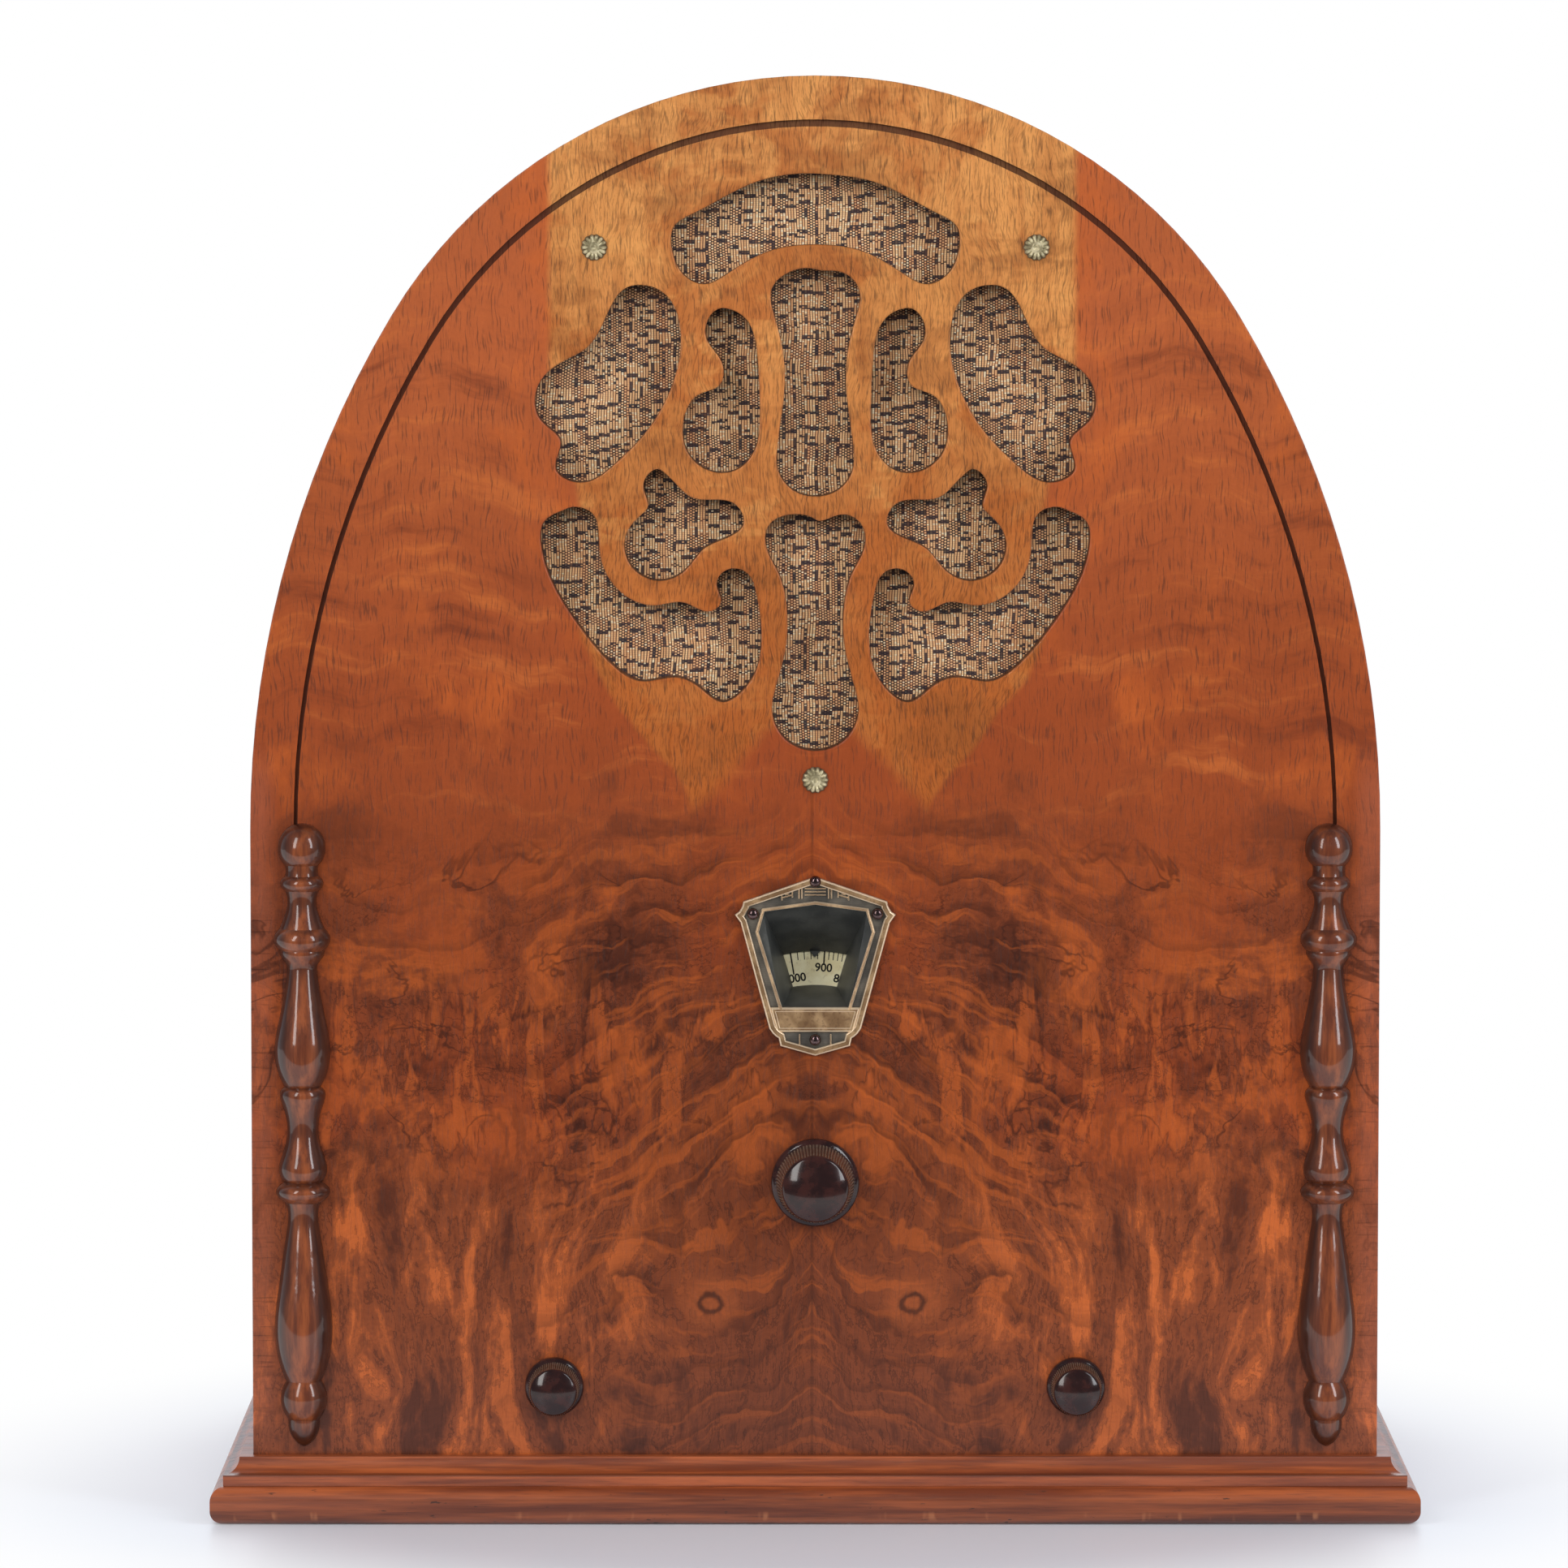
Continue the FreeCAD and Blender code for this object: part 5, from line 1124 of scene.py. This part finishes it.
OPEN_VALVES = ((62, -50, 24.0, 92.0), (118, -50, 24.0, 92.0), (26, 72, 24.0, 92.0), (62, 4, 19.5, 76.0))
VALVE_BASE_TOP = 111.0


def valve_insides(materials):
    """Plates, mica discs, glass stems and support rods inside the valves without shields."""
    plates = ([], [])
    mica = ([], [])
    rods = ([], [])
    for x, y, radius, height in OPEN_VALVES:
        low = VALVE_BASE_TOP + height * 0.24
        high = VALVE_BASE_TOP + height * 0.62
        r = radius * 0.42
        profile = [(r * 0.94, low), (r, low + 0.6)]
        steps = 6
        for k in range(steps + 1):
            z = low + 1 + (high - low - 2) * k / steps
            profile += [(r, z), (r * (1.05 if k % 2 else 1.0), z + 0.8)]
        profile += [(r, high), (r * 0.94, high + 0.5)]
        add_part(plates, *turned_up(profile, x, y, 28))
        for z in (low - 2.5, high + 2.5):
            add_part(mica, *turned_up([(r * 1.35, z), (r * 1.38, z + 0.4), (r * 1.35, z + 0.8)], x, y, 24))
        add_part(mica, *turned_up([(5.2, VALVE_BASE_TOP - 4), (4.6, VALVE_BASE_TOP + 5), (6.0, low - 8),
                                   (2.4, low - 4)], x, y, 20))
        for k in range(4):
            angle = math.radians(45 + 90 * k)
            dx = r * 1.16 * math.sin(angle)
            dy = r * 1.16 * math.cos(angle)
            add_part(rods, *turned_up([(0.55, low - 9), (0.55, high + 4)], x + dx, y + dy, 8))
    add_piece("valve_plates", *plates, materials["valve_plate"], slot="shield_metal")
    add_piece("valve_micas", *mica, materials["valve_mica"], slot="tube_glass")
    add_piece("valve_rods", *rods, materials["plated_steel"], slot="plated_steel")


# --- Stage, light and camera ---


def floor_material():
    """White table that fades to the white of the backdrop away from the radio."""
    net = Net("stage_floor", rough=0.35)
    dx = net.x / 370
    dy = (net.y + 60) / 420
    dy = dy.larger(dy * -1.45)
    reach = net.math("SQRT", dx * dx + dy * dy)
    net.colour(srgb(234, 240, 249))
    glow = net.tree.nodes.new("ShaderNodeEmission")
    glow.inputs["Color"].default_value = (1, 1, 1, 1)
    blend = net.tree.nodes.new("ShaderNodeMixShader")
    out = next(n for n in net.tree.nodes if n.type == "OUTPUT_MATERIAL")
    net.put(blend.inputs[0], reach.step(0.45, 0.9))
    net.tree.links.new(net.shader.outputs[0], blend.inputs[1])
    net.tree.links.new(glow.outputs[0], blend.inputs[2])
    net.tree.links.new(blend.outputs[0], out.inputs[0])
    return net.mat


def stage():
    """White table top that the radio stands on, with its front edge just out of the picture."""
    mesh = bpy.data.meshes.new("stage_floor")
    points = [(-3.0, -0.42, 0.0), (3.0, -0.42, 0.0), (3.0, 3.0, 0.0), (-3.0, 3.0, 0.0)]
    mesh.from_pydata(points, [], [(0, 1, 2, 3)])
    floor = bpy.data.objects.new("stage_floor", mesh)
    bpy.context.collection.objects.link(floor)
    mesh.materials.append(floor_material())


def soft_box(name, azimuth, elevation, distance, width, height, power, colour):
    """Rectangular light aimed at the middle of the front."""
    data = bpy.data.lights.new(name, "AREA")
    data.shape = "RECTANGLE"
    data.size = width
    data.size_y = height
    data.energy = power
    data.color = colour
    light = bpy.data.objects.new(name, data)
    bpy.context.collection.objects.link(light)
    a = math.radians(azimuth)
    e = math.radians(elevation)
    target = Vector((0.0, FRONT_Y * MM, 0.2))
    out = Vector((math.sin(a) * math.cos(e), -math.cos(a) * math.cos(e), math.sin(e)))
    light.location = target + out * distance
    light.rotation_mode = "QUATERNION"
    light.rotation_quaternion = out.to_track_quat("Z", "Y")
    light.visible_camera = False
    return light


def world():
    """White to the camera; as light, a grey room with a white backdrop behind the radio."""
    scene_world = bpy.data.worlds.new("studio")
    bpy.context.scene.world = scene_world
    scene_world.use_nodes = True
    tree = scene_world.node_tree
    tree.nodes.clear()
    seen = tree.nodes.new("ShaderNodeBackground")
    seen.inputs["Color"].default_value = (1, 1, 1, 1)
    lit = tree.nodes.new("ShaderNodeBackground")
    lit.inputs["Color"].default_value = (0.88, 0.92, 1.0, 1)
    coord = tree.nodes.new("ShaderNodeTexCoord")
    axes = tree.nodes.new("ShaderNodeSeparateXYZ")
    tree.links.new(coord.outputs["Generated"], axes.inputs[0])
    behind = tree.nodes.new("ShaderNodeMapRange")
    behind.interpolation_type = "SMOOTHSTEP"
    tree.links.new(axes.outputs["Y"], behind.inputs["Value"])
    behind.inputs["From Min"].default_value = -0.3
    behind.inputs["From Max"].default_value = 0.75
    behind.inputs["To Min"].default_value = 0.1
    behind.inputs["To Max"].default_value = 0.85
    tree.links.new(behind.outputs[0], lit.inputs["Strength"])
    path = tree.nodes.new("ShaderNodeLightPath")
    blend = tree.nodes.new("ShaderNodeMixShader")
    out = tree.nodes.new("ShaderNodeOutputWorld")
    tree.links.new(path.outputs["Is Camera Ray"], blend.inputs[0])
    tree.links.new(lit.outputs[0], blend.inputs[1])
    tree.links.new(seen.outputs[0], blend.inputs[2])
    tree.links.new(blend.outputs[0], out.inputs[0])


def camera():
    """Long lens a little above the middle, looking slightly down."""
    data = bpy.data.cameras.new("camera")
    data.lens = 192.4
    data.sensor_width = 36.0
    eye = bpy.data.objects.new("camera", data)
    bpy.context.collection.objects.link(eye)
    eye.location = Vector((-9.84, FRONT_Y - 2630, 440)) * MM
    target = Vector((-9.84, FRONT_Y, 233.7)) * MM
    eye.rotation_mode = "QUATERNION"
    eye.rotation_quaternion = (eye.location - target).to_track_quat("Z", "Y")
    bpy.context.scene.camera = eye


def light_scene():
    """Two tall boxes for the streaks of light on knobs and columns, with soft fill round them."""
    world()
    soft_box("left_box", -36, 25, 1.7, 0.34, 1.3, 10, (1.0, 0.97, 0.94))
    soft_box("right_box", 48, 25, 1.7, 0.34, 1.3, 11, (0.93, 0.96, 1.0))
    for name, azimuth in (("left_fill", -76), ("right_fill", 76)):
        side = soft_box(name, azimuth, 8, 1.6, 1.4, 1.3, 10, (0.98, 0.98, 1.0))
        side.visible_glossy = False
    front = soft_box("front_fill", 0, 18, 2.4, 1.2, 0.8, 23, (1.0, 0.98, 0.95))
    front.visible_glossy = False
    soft_box("back_box", 180, 35, 2.0, 1.6, 1.2, 14, (1.0, 1.0, 1.0))
    bpy.context.scene.view_settings.view_transform = "Standard"


def dress_cad_nodes(materials):
    """Gives every CAD node the material of its slot in the record."""
    for name, node in frame["nodes"].items():
        node.data.materials.clear()
        node.data.materials.append(materials[SLOT_OF[name]])
    frame["nodes"]["dial_funnel"].data.materials[0] = materials["funnel"]


def main():
    """Materials for the CAD nodes, then the finer pieces, the stage, the light and the camera."""
    materials = make_materials()
    dress_cad_nodes(materials)
    escutcheon(materials)
    escutcheon_pins(materials)
    funnel_collar(materials)
    knob("tuning_knob", materials, "tuning", 0.0, 107.7, (13.9, 12.3, 10.282), 21.0)
    for name, body, x in (("volume_knob", "volume", -82.5), ("tone_knob", "tone", 82.5)):
        knob(name, materials, body, x, 42.7, (9.3, 8.0, 7.155), 16.0)
    rosettes(materials)
    dial_print(materials)
    valve_insides(materials)
    stage()
    light_scene()
    camera()


main()
